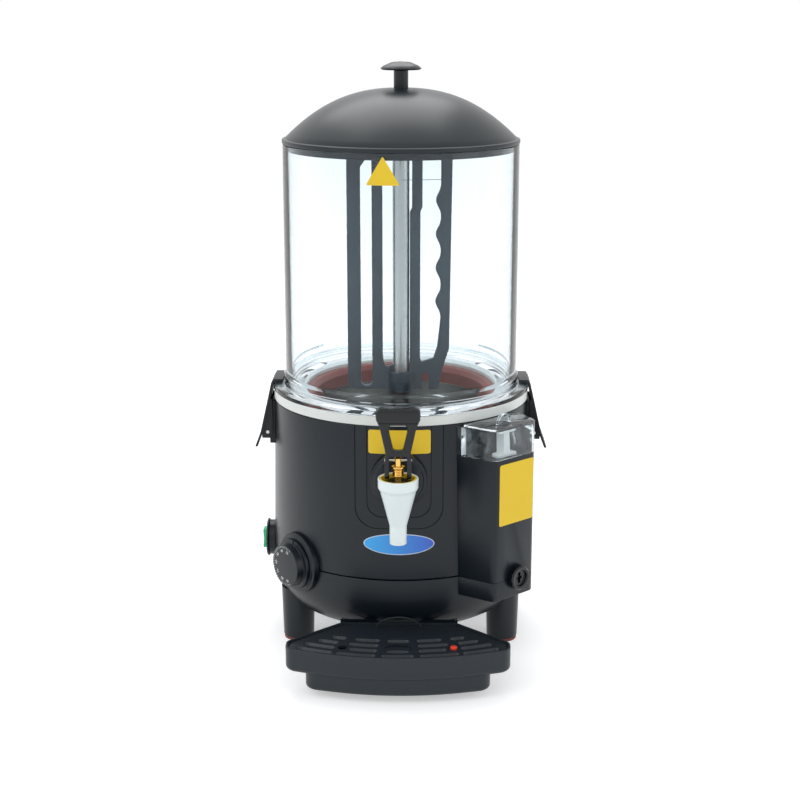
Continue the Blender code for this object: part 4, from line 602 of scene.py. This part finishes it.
# Agitator: one flat blue-grey moulding that turns round the tube, with a long slot, a window,
# a wave-edged window and a drain slot, and a hub at each end. The cap drives it.
agitator_plastic = finish("agitator_plastic", (0.034, 0.051, 0.066), 0.42, grain=800.0, marks=20.0,
                          colour_spread=0.12, depth=0.00004)
wave_right = 0.0399
wave_depth = 0.0050
wave_first_z = 0.3385
wave_pitch = 0.0338
wave_edge = [(0.0215, 0.4845), (0.0215, 0.4330), (0.0195, 0.4280), (0.0195, 0.2800), (0.0208, 0.2762),
             (0.0330, 0.2805), (0.0368, 0.2920), (wave_right - 0.0010, 0.3100)]
wave_count = 4
wave_steps = 14
for step in range(wave_count * wave_steps):
    travel = step / wave_steps
    bulge = ((1 - math.cos(2 * math.pi * travel)) / 2) ** 1.5
    wave_edge.append((wave_right - wave_depth * bulge, wave_first_z + wave_pitch * (travel - 0.5)))
wave_edge += [(wave_right, wave_first_z + wave_pitch * 3.5), (wave_right, 0.4845)]
blade_outlines = [
    rounded([(-0.0545, 0.2480, 0.007), (0.0378, 0.2480, 0.003), (0.0425, 0.2700, 0.008),
             (0.0492, 0.2900, 0.008), (0.0514, 0.4980, 0.007), (-0.0545, 0.4980, 0.007)], 8),
    rounded([(-0.0408, 0.2515, 0.0054), (-0.0294, 0.2515, 0.0054), (-0.0294, 0.4800, 0.0024),
             (-0.0326, 0.4832, 0.0024), (-0.0408, 0.4720, 0.0050)], 8),
    [(-0.0186, 0.2840), (-0.0176, 0.2760), (-0.0150, 0.2716), (-0.0080, 0.2735), (0.0000, 0.2765),
     (0.0089, 0.2765), (0.0089, 0.4280), (0.0110, 0.4320), (0.0110, 0.4860), (-0.0186, 0.4860)],
    wave_edge]
blade = flat_piece("agitator_blade", blade_outlines, -0.0025, 0.0025, 0.0007, wall_place(facing=True))
for low, high in ((0.2474, 0.2674), (0.4880, 0.5030)):
    carved(blade, rod("hub", 0.0125, low, high, wall_place(), ease=0.0012), operation="UNION")
carved(blade, rod("hub_bore", 0.0091, 0.24, 0.52, wall_place()))
carved(blade, flat_piece("drain_notch", [rounded([
    (0.0214, 0.2400, 0.0), (0.0284, 0.2400, 0.0), (0.0284, 0.2650, 0.0034), (0.0214, 0.2650, 0.0034)])],
    -0.01, 0.01, 0.0, wall_place(facing=True)))
settled(blade, agitator_plastic, "stirrer", "agitator_plastic", "agitator")
drive_cap = turned("agitator_cap", [(0.0, 0.5163, 0.0), (0.0130, 0.5163, 0.0025),
                                    (0.0130, 0.5033, 0.0006), (0.0, 0.5033, 0.0)], wall_place(), 64)
settled(drive_cap, agitator_plastic, "stirrer", "agitator_plastic", "drive_cap")

# Lid: a low black dome with a rolled rim that sits on the bowl's edge and a skirt inside it.
# Its mushroom knob is held by one screw from below.
lid_apex_z = 0.5537
lid_drop = 0.0510
lid_radius = 0.1170
lid_rim_z = 0.5009
lid_plastic = finish("satin_black_lid", (0.005, 0.011, 0.015), 0.34, grain=1400.0, marks=8.0,
                     colour_spread=0.08, roughness_spread=0.05, depth=0.00002, gloss=0.42)


def dome_corners(first, last, apex, steps):
    radii = [first + (last - first) * step / steps for step in range(steps + 1)]
    return [(radius, apex - lid_drop * (radius / lid_radius) ** 2.4, 0.0) for radius in radii]


lid = turned("domed_lid", dome_corners(0.0026, 0.1126, lid_apex_z, 30) + [
    (0.1136, lid_rim_z + 0.0046, 0.0006), (lid_radius, lid_rim_z + 0.0042, 0.0010),
    (lid_radius, lid_rim_z, 0.0012), (0.1128, lid_rim_z, 0.0), (0.1128, 0.4940, 0.0006),
    (0.1108, 0.4940, 0.0006)] + dome_corners(0.0026, 0.1108, lid_apex_z - 0.0020, 20)[::-1],
    wall_place(), 240)
settled(lid, lid_plastic, "lid", "satin_black_plastic", "lid")
knob_low = 0.5527
knob = turned("mushroom_knob", [
    (0.0, knob_low + 0.0262, 0.0), (0.0090, knob_low + 0.0256, 0.0120),
    (0.0170, knob_low + 0.0222, 0.0080), (0.0204, knob_low + 0.0194, 0.0007),
    (0.0186, knob_low + 0.0182, 0.0006), (0.0071, knob_low + 0.0182, 0.0012),
    (0.0071, knob_low, 0.0003), (0.0, knob_low, 0.0)], wall_place(), 72)
settled(knob, lid_plastic, "lid", "satin_black_plastic", "lid_knob")

# Tap body: a black boss on the wall carries the outlet to a white spout. A screwed bonnet closes
# its cup, with a yellow band round it inside the rim.
tap_reach = 0.1690
tap_place = wall_place(reach=tap_reach)
gloss_black = finish("gloss_black", (0.003, 0.005, 0.007), 0.20, grain=900.0, marks=25.0,
                     roughness_spread=0.06, depth=0.00001, gloss=0.40)
boss = turned("outlet_boss", [
    (0.0094, 0.1380, 0.0005), (0.0230, 0.1380, 0.0010), (0.0240, 0.1362, 0.0006),
    (0.0270, 0.1352, 0.0012), (0.0270, 0.1200, 0.0), (0.0094, 0.1200, 0.0)], outlet_place, 96)
carved(boss, wall_volume("boss_seat", -0.0013, body_seam_z, 0.26))
settled(boss, black_plastic, "machine", "satin_black_plastic", "tap_boss")
spout_white = finish("spout_white", (0.80, 0.88, 0.88), 0.34, grain=500.0, marks=35.0,
                     colour_spread=0.03, depth=0.00002)
milky = spout_white.node_tree.nodes["Principled BSDF"]
milky.inputs["Subsurface Weight"].default_value = 0.15
milky.inputs["Subsurface Radius"].default_value = (0.004, 0.004, 0.004)
spout = turned("white_spout", [
    (0.0171, 0.2087, 0.0005), (0.0189, 0.2087, 0.0006), (0.0187, 0.1994, 0.0020),
    (0.0168, 0.1962, 0.0015), (0.0080, 0.1623, 0.0060), (0.0080, 0.1447, 0.0006),
    (0.0062, 0.1447, 0.0006), (0.0062, 0.1623, 0.0020), (0.0151, 0.1969, 0.0010),
    (0.0171, 0.1987, 0.0005)], tap_place, 96)
inlet_place = wall_place(z=0.1932, facing=True)
carved(spout, turned("spout_inlet", [(0.0, 0.1519, 0.0), (0.0105, 0.1519, 0.0),
                                     (0.0105, 0.1383, 0.0006), (0.0, 0.1383, 0.0)], inlet_place, 64),
       operation="UNION")
carved(spout, rod("spout_inlet_bore", 0.0065, 0.1300, 0.1620, inlet_place))
settled(spout, spout_white, "machine", "white_plastic", "spout")
bonnet = turned("tap_bonnet_cap", [
    (0.0105, 0.2062, 0.0006), (0.0105, 0.2030, 0.0), (0.0168, 0.2030, 0.0), (0.0168, 0.2007, 0.0),
    (0.0038, 0.2007, 0.0), (0.0038, 0.2062, 0.0004)], tap_place, 72)
settled(bonnet, gloss_black, "machine", "satin_black_plastic", "tap_bonnet")
band = turned("yellow_band", [(0.0170, 0.2085, 0.0006), (0.0170, 0.2031, 0.0),
                              (0.0152, 0.2031, 0.0), (0.0152, 0.2085, 0.0006)], tap_place, 72)
settled(band, label_yellow, "machine", "yellow_plastic", "bonnet_band")

# Valve: a brass stem with a threaded nut hangs from the handle's pin, and a coiled spring in
# the spout holds the rubber plunger down on the spout's neck.
brass = finish("brass", (0.78, 0.50, 0.14), 0.24, grain=120.0, marks=60.0, colour_spread=0.08,
               roughness_spread=0.06, depth=0.00002, metallic=1.0, stretch=(1.0, 1.0, 9.0))
pin_z = 0.2258
thread_pitch = 0.0016
stem_corners = [(0.0, 0.2292, 0.0), (0.0018, 0.2292, 0.0), (0.0034, 0.2276, 0.0),
                (0.0034, 0.2200, 0.0), (0.0062, 0.2200, 0.0006), (0.0062, 0.2185, 0.0004)]
ridge_z = 0.2185
while ridge_z > 0.2108:
    stem_corners += [(0.0046, ridge_z, 0.0), (0.0055, ridge_z - thread_pitch / 2, 0.0002)]
    ridge_z -= thread_pitch
stem_corners += [(0.0034, ridge_z, 0.0), (0.0034, 0.1682, 0.0), (0.0, 0.1682, 0.0)]
stem = turned("brass_stem", stem_corners, tap_place, 48, 2)
across_stem = Matrix.Translation((0.0, 0.0, pin_z)) @ Matrix.Rotation(math.radians(90.0), 4, "Y")
carved(stem, rod("stem_hole", 0.0019, -0.02, 0.02, tap_place @ across_stem, 24))
settled(stem, brass, "valve", "brass", "valve_stem")
valve_rubber = finish("valve_rubber", (0.02, 0.02, 0.02), 0.7, grain=1500.0, depth=0.00004)
plunger_low = 0.1662
plunger = turned("rubber_plunger", [
    (0.0, plunger_low + 0.0060, 0.0), (0.0075, plunger_low + 0.0060, 0.0006),
    (0.0075, plunger_low + 0.0020, 0.0006), (0.0038, plunger_low, 0.0006), (0.0, plunger_low, 0.0)],
    tap_place, 64)
carved(plunger, rod("plunger_bore", 0.0037, 0.1679, 0.175, tap_place, 48))
settled(plunger, valve_rubber, "valve", "valve_rubber", "valve_plunger")

spring_low, spring_high = 0.1725, 0.2004
spring_wire = 0.0006
spring_radius = 0.0050
spring_coils = 9
coil_steps = 32
spring_path = bpy.data.curves.new("valve_spring", "CURVE")
spring_path.dimensions = "3D"
spring_path.bevel_depth = spring_wire
spring_path.bevel_resolution = 3
spring_path.use_fill_caps = True
coil = spring_path.splines.new("POLY")
coil.points.add(spring_coils * coil_steps)
for index, point in enumerate(coil.points):
    travel = index / (spring_coils * coil_steps)
    turn = 2 * math.pi * spring_coils * travel
    height = spring_low + spring_wire + (spring_high - spring_low - 2 * spring_wire) * travel
    point.co = (spring_radius * math.cos(turn), spring_radius * math.sin(turn), height, 1.0)
guide = link(bpy.data.objects.new("spring_path", spring_path))
shape = bmesh.new()
shape.from_mesh(plain_mesh(guide))
bpy.data.objects.remove(guide, do_unlink=True)
spring = solid_from("valve_spring", shape, tap_place)
settled(spring, steel, "machine", "stainless_steel", "tap_spring")
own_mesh(spring)

# Handle: a gloss black loop with a deep rounded bar to pull, two rails drawn in to a bridge,
# and cheeks that straddle the stem on a steel pin.
handle_place = wall_place(reach=tap_reach, z=pin_z, facing=True)
loop_outer = rounded([(-0.0125, -0.0043, 0.0016), (0.0125, -0.0043, 0.0016), (0.0116, 0.0070, 0.008),
                      (0.0168, 0.0310, 0.012), (0.0205, 0.0400, 0.004), (0.0205, 0.0500, 0.005),
                      (-0.0205, 0.0500, 0.005), (-0.0205, 0.0400, 0.004), (-0.0168, 0.0310, 0.012),
                      (-0.0116, 0.0070, 0.008)], 8)
loop_inner = rounded([(-0.0042, 0.0092, 0.0034), (0.0042, 0.0092, 0.0034), (0.0098, 0.0336, 0.003),
                      (-0.0098, 0.0336, 0.003)], 6)
handle = flat_piece("tap_loop", [loop_outer, loop_inner], -0.0043, 0.0043, 0.0012, handle_place, 3)
bar = box_piece("handle_bar", (-0.0205, 0.0352, -0.0058), (0.0205, 0.0500, 0.0058), handle_place,
                0.0050)
carved(handle, bar, operation="UNION")
for side in (-1, 1):
    edges = sorted((side * 0.0082, side * 0.0125))
    cheek = box_piece("handle_cheek", (edges[0], -0.0172, -0.0045), (edges[1], -0.0030, 0.0045),
                      handle_place, 0.0009)
    carved(handle, cheek, operation="UNION")
carved(handle, box_piece("stem_room", (-0.0082, -0.020, -0.010), (0.0082, 0.0044, 0.010),
                         handle_place))
settled(handle, gloss_black, "tap_lever", "satin_black_plastic", "tap_handle")

# Latches: two black levers on pins in brackets at the sides. Each hooks over the bowl's flange
# and has full side cheeks and a finger tip that stands off the body.
latch_plastic = finish("latch_black", (0.004, 0.006, 0.008), 0.40, grain=1100.0, marks=22.0,
                       colour_spread=0.12, depth=0.00005, gloss=0.36)


def softened(node, name, width, angle_deg=40.0):
    """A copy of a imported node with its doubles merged, flats cleaned and edges rounded."""
    shape = bmesh.new()
    shape.from_mesh(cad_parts[node].data)
    bmesh.ops.remove_doubles(shape, verts=shape.verts, dist=0.00001)
    bmesh.ops.dissolve_limit(shape, angle_limit=math.radians(1.0), verts=shape.verts,
                             edges=shape.edges)
    mesh = bpy.data.meshes.new(name)
    shape.to_mesh(mesh)
    shape.free()
    piece = link(bpy.data.objects.new(name, mesh))
    soft = piece.modifiers.new("soft_edges", "BEVEL")
    soft.width = width
    soft.segments = 3
    soft.limit_method = "ANGLE"
    soft.angle_limit = math.radians(angle_deg)
    soft.harden_normals = False
    done = plain_mesh(piece)
    piece.modifiers.clear()
    piece.data = done
    return piece


for side in ("left", "right"):
    latch = softened(f"latch_{side}", f"side_latch_{side}", 0.0004)
    settled(latch, latch_plastic, f"latch_{side}", "satin_black_plastic", f"latch_{side}",
            sharp_deg=40.0)
    bracket = softened(f"latch_bracket_{side}", f"latch_mount_{side}", 0.0003)
    settled(bracket, latch_plastic, "machine", "satin_black_plastic", f"latch_bracket_{side}",
            sharp_deg=40.0)

# Temperature dial: a black base disc on the left front carries a knob with a low skirt, a plain
# face and white ticks and numbers printed round its rim.
dial_azimuth = -50.0
dial_place = wall_place(dial_azimuth, z=0.0940, facing=True)
dial_face_z = 0.1480
dial_base = turned("dial_disc", [
    (0.0034, 0.1366, 0.0), (0.0276, 0.1366, 0.0005), (0.0284, 0.1350, 0.0004),
    (0.0306, 0.1344, 0.0010), (0.0306, 0.1150, 0.0), (0.0034, 0.1150, 0.0)], dial_place, 96)
carved(dial_base, wall_volume("dial_seat", 0.0003, body_base_z, 0.26))
settled(dial_base, black_plastic, "machine", "satin_black_plastic", "dial_base")
dial = turned("dial_knob", [
    (0.0, dial_face_z, 0.0), (0.0211, dial_face_z, 0.0006), (0.0214, 0.1402, 0.0008),
    (0.0252, 0.1398, 0.0006), (0.0256, 0.1369, 0.0006), (0.0, 0.1369, 0.0)], dial_place, 96)
carved(dial, box_piece("pointer_notch", (0.0215, -0.0008, 0.1386), (0.0262, 0.0008, 0.1410),
                       dial_place @ Matrix.Rotation(math.radians(82.0), 4, "Z")))
settled(dial, black_plastic, "dial", "satin_black_plastic", "dial")
dial_print = finish("dial_print", (0.72, 0.76, 0.76), 0.5, grain=400.0, depth=0.000005)
tick_count = 31
tick_sweep_deg = 230.0
tick_start_deg = 65.0
number_start_deg = 75.0
number_pitch_deg = 35.0
number_radius = 0.0150
number_height = 0.0040


def ring_of_ticks(name, count, sweep_deg, radius, size, paint, place):
    """Short printed strokes set round an arc by a node tree, made one plain mesh."""
    tree = bpy.data.node_groups.new(name, "GeometryNodeTree")
    sockets = {}
    for label, kind, value in (("Count", "NodeSocketInt", count), ("Radius", "NodeSocketFloat", radius),
                               ("Sweep", "NodeSocketFloat", math.radians(sweep_deg)),
                               ("Size", "NodeSocketVector", size)):
        socket = tree.interface.new_socket(name=label, in_out="INPUT", socket_type=kind)
        sockets[socket.identifier] = value
    tree.interface.new_socket(name="Mesh", in_out="OUTPUT", socket_type="NodeSocketGeometry")
    nodes, links = tree.nodes, tree.links
    given, made = nodes.new("NodeGroupInput"), nodes.new("NodeGroupOutput")
    arc = nodes.new("GeometryNodeCurveArc")
    arc.inputs["Start Angle"].default_value = 0.0
    links.new(given.outputs["Count"], arc.inputs["Resolution"])
    links.new(given.outputs["Radius"], arc.inputs["Radius"])
    links.new(given.outputs["Sweep"], arc.inputs["Sweep Angle"])
    stroke = nodes.new("GeometryNodeMeshCube")
    links.new(given.outputs["Size"], stroke.inputs["Size"])
    spots = nodes.new("GeometryNodeCurveToPoints")
    spots.mode = "EVALUATED"
    links.new(arc.outputs["Curve"], spots.inputs["Curve"])
    copies = nodes.new("GeometryNodeInstanceOnPoints")
    links.new(spots.outputs["Points"], copies.inputs["Points"])
    links.new(stroke.outputs["Mesh"], copies.inputs["Instance"])
    links.new(spots.outputs["Rotation"], copies.inputs["Rotation"])
    real, coated = nodes.new("GeometryNodeRealizeInstances"), nodes.new("GeometryNodeSetMaterial")
    coated.inputs["Material"].default_value = paint
    links.new(copies.outputs["Instances"], real.inputs["Geometry"])
    links.new(real.outputs["Geometry"], coated.inputs["Geometry"])
    links.new(coated.outputs["Geometry"], made.inputs["Mesh"])
    host = link(bpy.data.objects.new(name + "_host", bpy.data.meshes.new(name + "_host")))
    step = host.modifiers.new("ticks", "NODES")
    step.node_group = tree
    for identifier, value in sockets.items():
        step[identifier] = value
    shape = bmesh.new()
    shape.from_mesh(plain_mesh(host))
    bpy.data.objects.remove(host, do_unlink=True)
    return solid_from(name, shape, place, merge=False)


ticks = ring_of_ticks("dial_ticks", tick_count, tick_sweep_deg, 0.0192, (0.0020, 0.0003, 0.0004),
                      dial_print, dial_place @ Matrix.Translation((0.0, 0.0, dial_face_z))
                      @ Matrix.Rotation(math.radians(tick_start_deg), 4, "Z"))
settled(ticks, dial_print, "dial", "white_plastic")
digits = bmesh.new()
for index, word in enumerate(("30", "40", "50", "60", "70", "80", "90")):
    drawn = bpy.data.curves.new("number", "FONT")
    drawn.body = word
    drawn.size = number_height
    drawn.align_x, drawn.align_y = "CENTER", "CENTER"
    drawn.extrude = 0.00008
    written = link(bpy.data.objects.new("number", drawn))
    mesh = plain_mesh(written)
    turn = math.radians(number_start_deg + number_pitch_deg * index)
    mesh.transform(Matrix.Rotation(turn, 4, "Z") @ Matrix.Translation((number_radius, 0.0, dial_face_z))
                   @ Matrix.Rotation(math.radians(-90.0), 4, "Z"))
    digits.from_mesh(mesh)
    bpy.data.objects.remove(written, do_unlink=True)
numbers = solid_from("dial_numbers", digits, dial_place)
settled(numbers, dial_print, "dial", "white_plastic")

# Power switch: a green rocker in a round black collar on the left side, under a thin clear
# boot that keeps drips out.
switch_place = wall_place(-90.0, z=0.0910, facing=True)
collar = turned("switch_ring", [
    (0.0, 0.1395, 0.0), (0.0192, 0.1395, 0.0006), (0.0197, 0.1377, 0.0006), (0.0182, 0.1367, 0.0006),
    (0.0179, 0.1200, 0.0), (0.0, 0.1200, 0.0)], switch_place, 96)
carved(collar, box_piece("switch_window", (-0.0063, -0.0120, 0.110), (0.0063, 0.0120, 0.150),
                         switch_place),
       wall_volume("collar_seat", 0.0003, body_base_z, 0.26))
settled(collar, black_plastic, "machine", "satin_black_plastic", "switch_collar")
rocker_green = finish("rocker_green", (0.005, 0.42, 0.16), 0.22, grain=300.0, marks=40.0,
                      colour_spread=0.05, depth=0.00001)
rocker = flat_piece("green_rocker", [rounded([
    (0.1318, -0.0085, 0.0010), (0.1442, -0.0102, 0.0014), (0.1433, 0.0, 0.0), (0.1442, 0.0102, 0.0014),
    (0.1318, 0.0085, 0.0010)])], -0.0056, 0.0056, 0.0006,
    switch_place @ Matrix.Rotation(math.radians(-90.0), 4, "Y"))
settled(rocker, rocker_green, "rocker", "green_plastic", "rocker", sharp_deg=40.0)
thin_clear = clear_finish("boot_clear", (0.96, 0.98, 0.98), (0.85, 0.90, 0.90), 0.04, 1.12, depth=0.00001)
boot = turned("clear_boot", [
    (0.0, 0.1466, 0.0), (0.0136, 0.1466, 0.0014), (0.0160, 0.1436, 0.0010), (0.0160, 0.1398, 0.0),
    (0.0154, 0.1398, 0.0), (0.0154, 0.1432, 0.0008), (0.0133, 0.1460, 0.0010), (0.0, 0.1460, 0.0)],
    switch_place, 72)
settled(boot, thin_clear, "machine", "clear_plastic", "switch_boot")

# Water filler: a black box in two halves on the right front, with a plain yellow label, a
# coin-slotted drain cap, and a clear chamber on top under a hinged clear lid.
box_azimuth = 42.5
box_face_reach = 0.1650
for node, name in (("fill_box", "filler_box"), ("fill_box_base", "filler_box_base")):
    settled(softened(node, name, 0.0005, angle_deg=50.0), black_plastic, "machine",
            "satin_black_plastic", node, sharp_deg=40.0)
chamber_clear = clear_finish("chamber_clear", (0.90, 0.95, 0.98), (0.60, 0.70, 0.78), 0.04, 1.45,
                             depth=0.00004)
chamber = softened("fill_chamber", "clear_chamber", 0.0004, angle_deg=50.0)
settled(chamber, chamber_clear, "machine", "clear_plastic", "fill_chamber", sharp_deg=40.0)
chamber_lid = softened("fill_lid", "clear_chamber_lid", 0.0003, angle_deg=50.0)
settled(chamber_lid, chamber_clear, "fill_lid", "clear_plastic", "fill_lid", sharp_deg=40.0)
float_white = finish("float_white", (0.82, 0.83, 0.80), 0.4, grain=500.0, depth=0.00003)
settled(softened("water_float", "white_float", 0.0004), float_white, "water_float",
        "white_plastic", "water_float", sharp_deg=40.0)
box_label = flat_piece("filler_label", [rounded([
    (-0.0215, 0.1497, 0.0020), (0.0240, 0.1497, 0.0020), (0.0240, 0.2106, 0.0020),
    (-0.0215, 0.2106, 0.0020)])], box_face_reach, box_face_reach + label_film, 0.0,
    wall_place(box_azimuth, facing=True))
settled(box_label, label_yellow, "machine", "yellow_plastic")
drain_place = wall_place(box_azimuth, side=0.0040, z=0.0930, facing=True)
drain_cap = turned("drain_screw", [
    (0.0, 0.1683, 0.0), (0.0076, 0.1683, 0.0004), (0.0084, 0.1708, 0.0006), (0.0108, 0.1713, 0.0008),
    (0.0120, 0.1700, 0.0008), (0.0120, 0.1653, 0.0004), (0.0085, 0.1653, 0.0), (0.0085, 0.1583, 0.0004),
    (0.0, 0.1583, 0.0)], drain_place, 72)
for half_x, half_y in ((0.0036, 0.0014), (0.0018, 0.0054)):
    carved(drain_cap, box_piece("coin_slot", (-half_x, -half_y, 0.1660), (half_x, half_y, 0.1750),
                                drain_place))
settled(drain_cap, gloss_black, "drain_cap", "satin_black_plastic", "drain_cap")

# Drip tray: a black basin with a deeper step under it, a grid with rows of tapered cells, and
# a red float that shows when the tray is full. A small arch stands at the grid's back.
tray_plastic = finish("tray_black", (0.012, 0.018, 0.024), 0.38, grain=1300.0, marks=10.0,
                      colour_spread=0.10, roughness_spread=0.06, depth=0.00004, gloss=0.40)
front_radius = 0.2480
front_reach = 0.2138
front_half_share = 0.1020 / 0.1060


def tray_outline(half, shoulder_reach, reach, back_half, back_reach, corner, steps=20):
    """Plan of the tray: a wide front arc, rounded shoulders and sides drawn in to the back."""
    limit = math.asin(half * front_half_share / front_radius)
    arc = []
    for step in range(steps + 1):
        angle = limit * (2 * step / steps - 1)
        arc.append((front_radius * math.sin(angle),
                    front_radius - reach - front_radius * math.cos(angle)))
    corners = [(x, y, 0.0) for x, y in arc[2:-2]]
    corners += [(half, arc[-1][1], corner), (half, -shoulder_reach, corner / 2),
                (back_half, -back_reach, corner / 4), (-back_half, -back_reach, corner / 4),
                (-half, -shoulder_reach, corner / 2), (-half, arc[0][1], corner)]
    return rounded(corners, 10)


def basin_plan(inset):
    return tray_outline(0.1060 - inset, 0.1740, front_reach - inset, 0.0560 - inset / 2,
                        0.1262 + inset, 0.0120 - inset / 2)


def step_plan(inset):
    return tray_outline(0.0870 - inset, 0.1700, front_reach - 0.0035 - inset, 0.0560 - inset / 2,
                        0.1400 + inset, 0.0120 - inset / 2)


def stacked(name, plan, levels, place):
    """A closed solid through plan outlines at given heights and insets, capped at both ends."""
    shape = bmesh.new()
    rings = [[shape.verts.new((x, y, z)) for x, y in plan(inset)] for z, inset in levels]
    for lower, upper in zip(rings, rings[1:]):
        for index, corner in enumerate(lower):
            shape.faces.new((lower[index - 1], corner, upper[index], upper[index - 1]))
    shape.faces.new(rings[0])
    shape.faces.new(rings[-1])
    return solid_from(name, shape, place, merge=False)


def eased_levels(low, high, bottom_round, inset=0.0, steps=6):
    """Heights and insets of an upright wall whose lower edge is rounded."""
    turns = [math.pi / 2 * step / steps for step in range(steps + 1)]
    levels = [(low + bottom_round * (1 - math.cos(turn)), inset + bottom_round * (1 - math.sin(turn)))
              for turn in turns]
    return levels + [(high, inset)]


tray_rim_z = 0.0480
tray_floor_z = 0.0245
well_floor_z = 0.0075
tray_wall = 0.0025
rim_ease = 0.0006
tray = stacked("drip_basin", basin_plan, eased_levels(tray_floor_z, tray_rim_z - rim_ease, 0.0050)
               + [(tray_rim_z, rim_ease)], wall_place())
well = stacked("well", step_plan, eased_levels(well_floor_z, tray_floor_z + tray_wall, 0.0046),
               wall_place())
carved(tray, well, operation="UNION")
carved(tray, stacked("basin_room", basin_plan, eased_levels(tray_floor_z + tray_wall, 0.0600, 0.0020,
                                                            tray_wall), wall_place()),
       stacked("well_room", step_plan, eased_levels(well_floor_z + tray_wall, 0.0290, 0.0020,
                                                    2 * tray_wall), wall_place()))
for side in (-1, 1):
    edges = sorted((side * 0.0240, side * 0.0360))
    carved(tray, box_piece("tray_arm", (edges[0], -0.1274, 0.0366), (edges[1], -0.0620, 0.0396),
                           wall_place(), 0.0008), operation="UNION")
settled(tray, tray_plastic, "tray", "satin_black_plastic", "drip_tray")

grid_top = 0.0460
grid_low = 0.0435
slot_half = 0.0035
float_side = 0.0525
float_reach = 0.1840


def arc_slot(radius, left, right, half, steps=10):
    """A round-ended slot that follows the tray's front arc between two x places."""
    middle_y = front_radius - front_reach
    first, last = math.asin((left + half) / radius), math.asin((right - half) / radius)
    outline = []
    for start, stop, side in ((first, last, 1), (last, first, -1)):
        edge = radius + side * half
        for step in range(steps + 1):
            turn = start + (stop - start) * step / steps
            outline.append((edge * math.sin(turn), middle_y - edge * math.cos(turn)))
        end = (radius * math.sin(stop), middle_y - radius * math.cos(stop))
        for step in range(1, 6):
            turn = stop - side * math.pi / 2 + math.pi * step / 6
            outline.append((end[0] + half * math.cos(turn), end[1] + half * math.sin(turn)))
    return outline


cell_rows = ((0.0204, 0.0578, 0.0609, 0.0957), (0.0190, 0.0462, 0.0590, 0.0893),
             (0.0182, 0.0475, 0.0565, 0.0770), (0.0172, 0.0418, 0.0492, 0.0638))
row_pitch = 0.0118
first_row_inset = 0.0095
cell_levels = [(grid_low - 0.0020, 0.0028), (grid_top, 0.0), (grid_top + 0.0010, 0.0)]
grid = flat_piece("tray_grid_plate", [basin_plan(0.0031)], grid_low, grid_top, 0.0005, wall_place())
cell_arcs = [(0, -0.0156, 0.0156), (3, -0.0108, 0.0108)]
for row, ends in enumerate(cell_rows):
    for side in (-1, 1):
        for near, far in (ends[:2], ends[2:]):
            cell_arcs.append((row, *sorted((side * near, side * far))))
for row, left, right in cell_arcs:
    radius = front_radius - first_row_inset - row_pitch * row
    carved(grid, stacked("cell", lambda inset: arc_slot(radius, left + inset, right - inset,
                                                        slot_half - inset), cell_levels, wall_place()))
carved(grid, stacked("lens_cell", lambda inset: oval(0.0, -0.1934, 0.0104 - inset, 0.0034 - inset, 32),
                     cell_levels, wall_place()))
arch_turns = [math.pi * step / 16 for step in range(17)]
arch_cell = [(0.0132 * math.cos(turn), 0.0098 * math.sin(turn) - 0.1868) for turn in arch_turns]
arch_cell += [(0.0120 * math.cos(turn), 0.0046 * math.sin(turn) - 0.1862) for turn in arch_turns[::-1]]
holes = [oval(side * float_side, -float_reach, 0.0045, 0.0045, 24) for side in (-1, 1)]
carved(grid, flat_piece("hole_cutter", [arch_cell] + holes, grid_low - 0.002, grid_top + 0.002, 0.0,
                        wall_place()))
hood_foot_z = 0.0450
hood_outer = [(0.0226 * math.cos(turn), hood_foot_z + 0.0128 * math.sin(turn)) for turn in arch_turns]
hood_inner = [(0.0212 * math.cos(turn), hood_foot_z + 0.0114 * math.sin(turn)) for turn in arch_turns]
hood = flat_piece("grid_hood", [hood_outer + hood_inner[::-1]], 0.1352, 0.1370, 0.0003,
                  wall_place(facing=True))
carved(grid, hood, operation="UNION")
for side in (-1, 1):
    middle = side * 0.0155
    carved(grid, box_piece("grid_rib", (middle - 0.001, -0.2018, 0.0273), (middle + 0.001, -0.1382, 0.0440),
                           wall_place()), operation="UNION")
settled(grid, tray_plastic, "grid", "satin_black_plastic", "tray_grid")
float_red = finish("float_red", (0.85, 0.05, 0.025), 0.30, grain=400.0, depth=0.00001)
tray_float = turned("red_float", [
    (0.0, 0.0480, 0.0), (0.0034, 0.0480, 0.0012), (0.0034, 0.0223, 0.0004), (0.0100, 0.0223, 0.0006),
    (0.0100, 0.0103, 0.0006), (0.0, 0.0103, 0.0)], wall_place(reach=float_reach, side=float_side), 48)
settled(tray_float, float_red, "tray_float", "red_plastic", "tray_float")

# Cable gland: a black threaded gland through the back wall with its lock nut and its clamping
# nut. The cord itself isn't shown.
gland = softened("cable_gland", "cord_gland", 0.0003)
settled(gland, gloss_black, "machine", "satin_black_plastic", "cable_gland")

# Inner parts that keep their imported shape: the base plate and its screws, the tank, heater,
# motor, shafts, pipes and pins, each in the finish of its real material.
galvanised = finish("galvanised_plate", (0.52, 0.53, 0.54), 0.42, grain=260.0, marks=70.0,
                    colour_spread=0.14, roughness_spread=0.12, depth=0.00002, metallic=1.0)
kept = ((steel, "water_tank drive_shaft knob_screw outlet_pipe handle_pin dial_shaft water_pipe "
                "latch_pin_left latch_pin_right heating_element"),
        (galvanised, "bottom_plate base_screw_1 base_screw_2 motor_bracket regulator tray_rail"),
        (brass, "thermostat_probe"), (black_plastic, "gear_motor"))
for paint, names in kept:
    for name in names.split():
        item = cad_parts[name]
        if not item.material_slots:
            item.data.materials.append(paint)
        for holder in item.material_slots:
            holder.material = paint
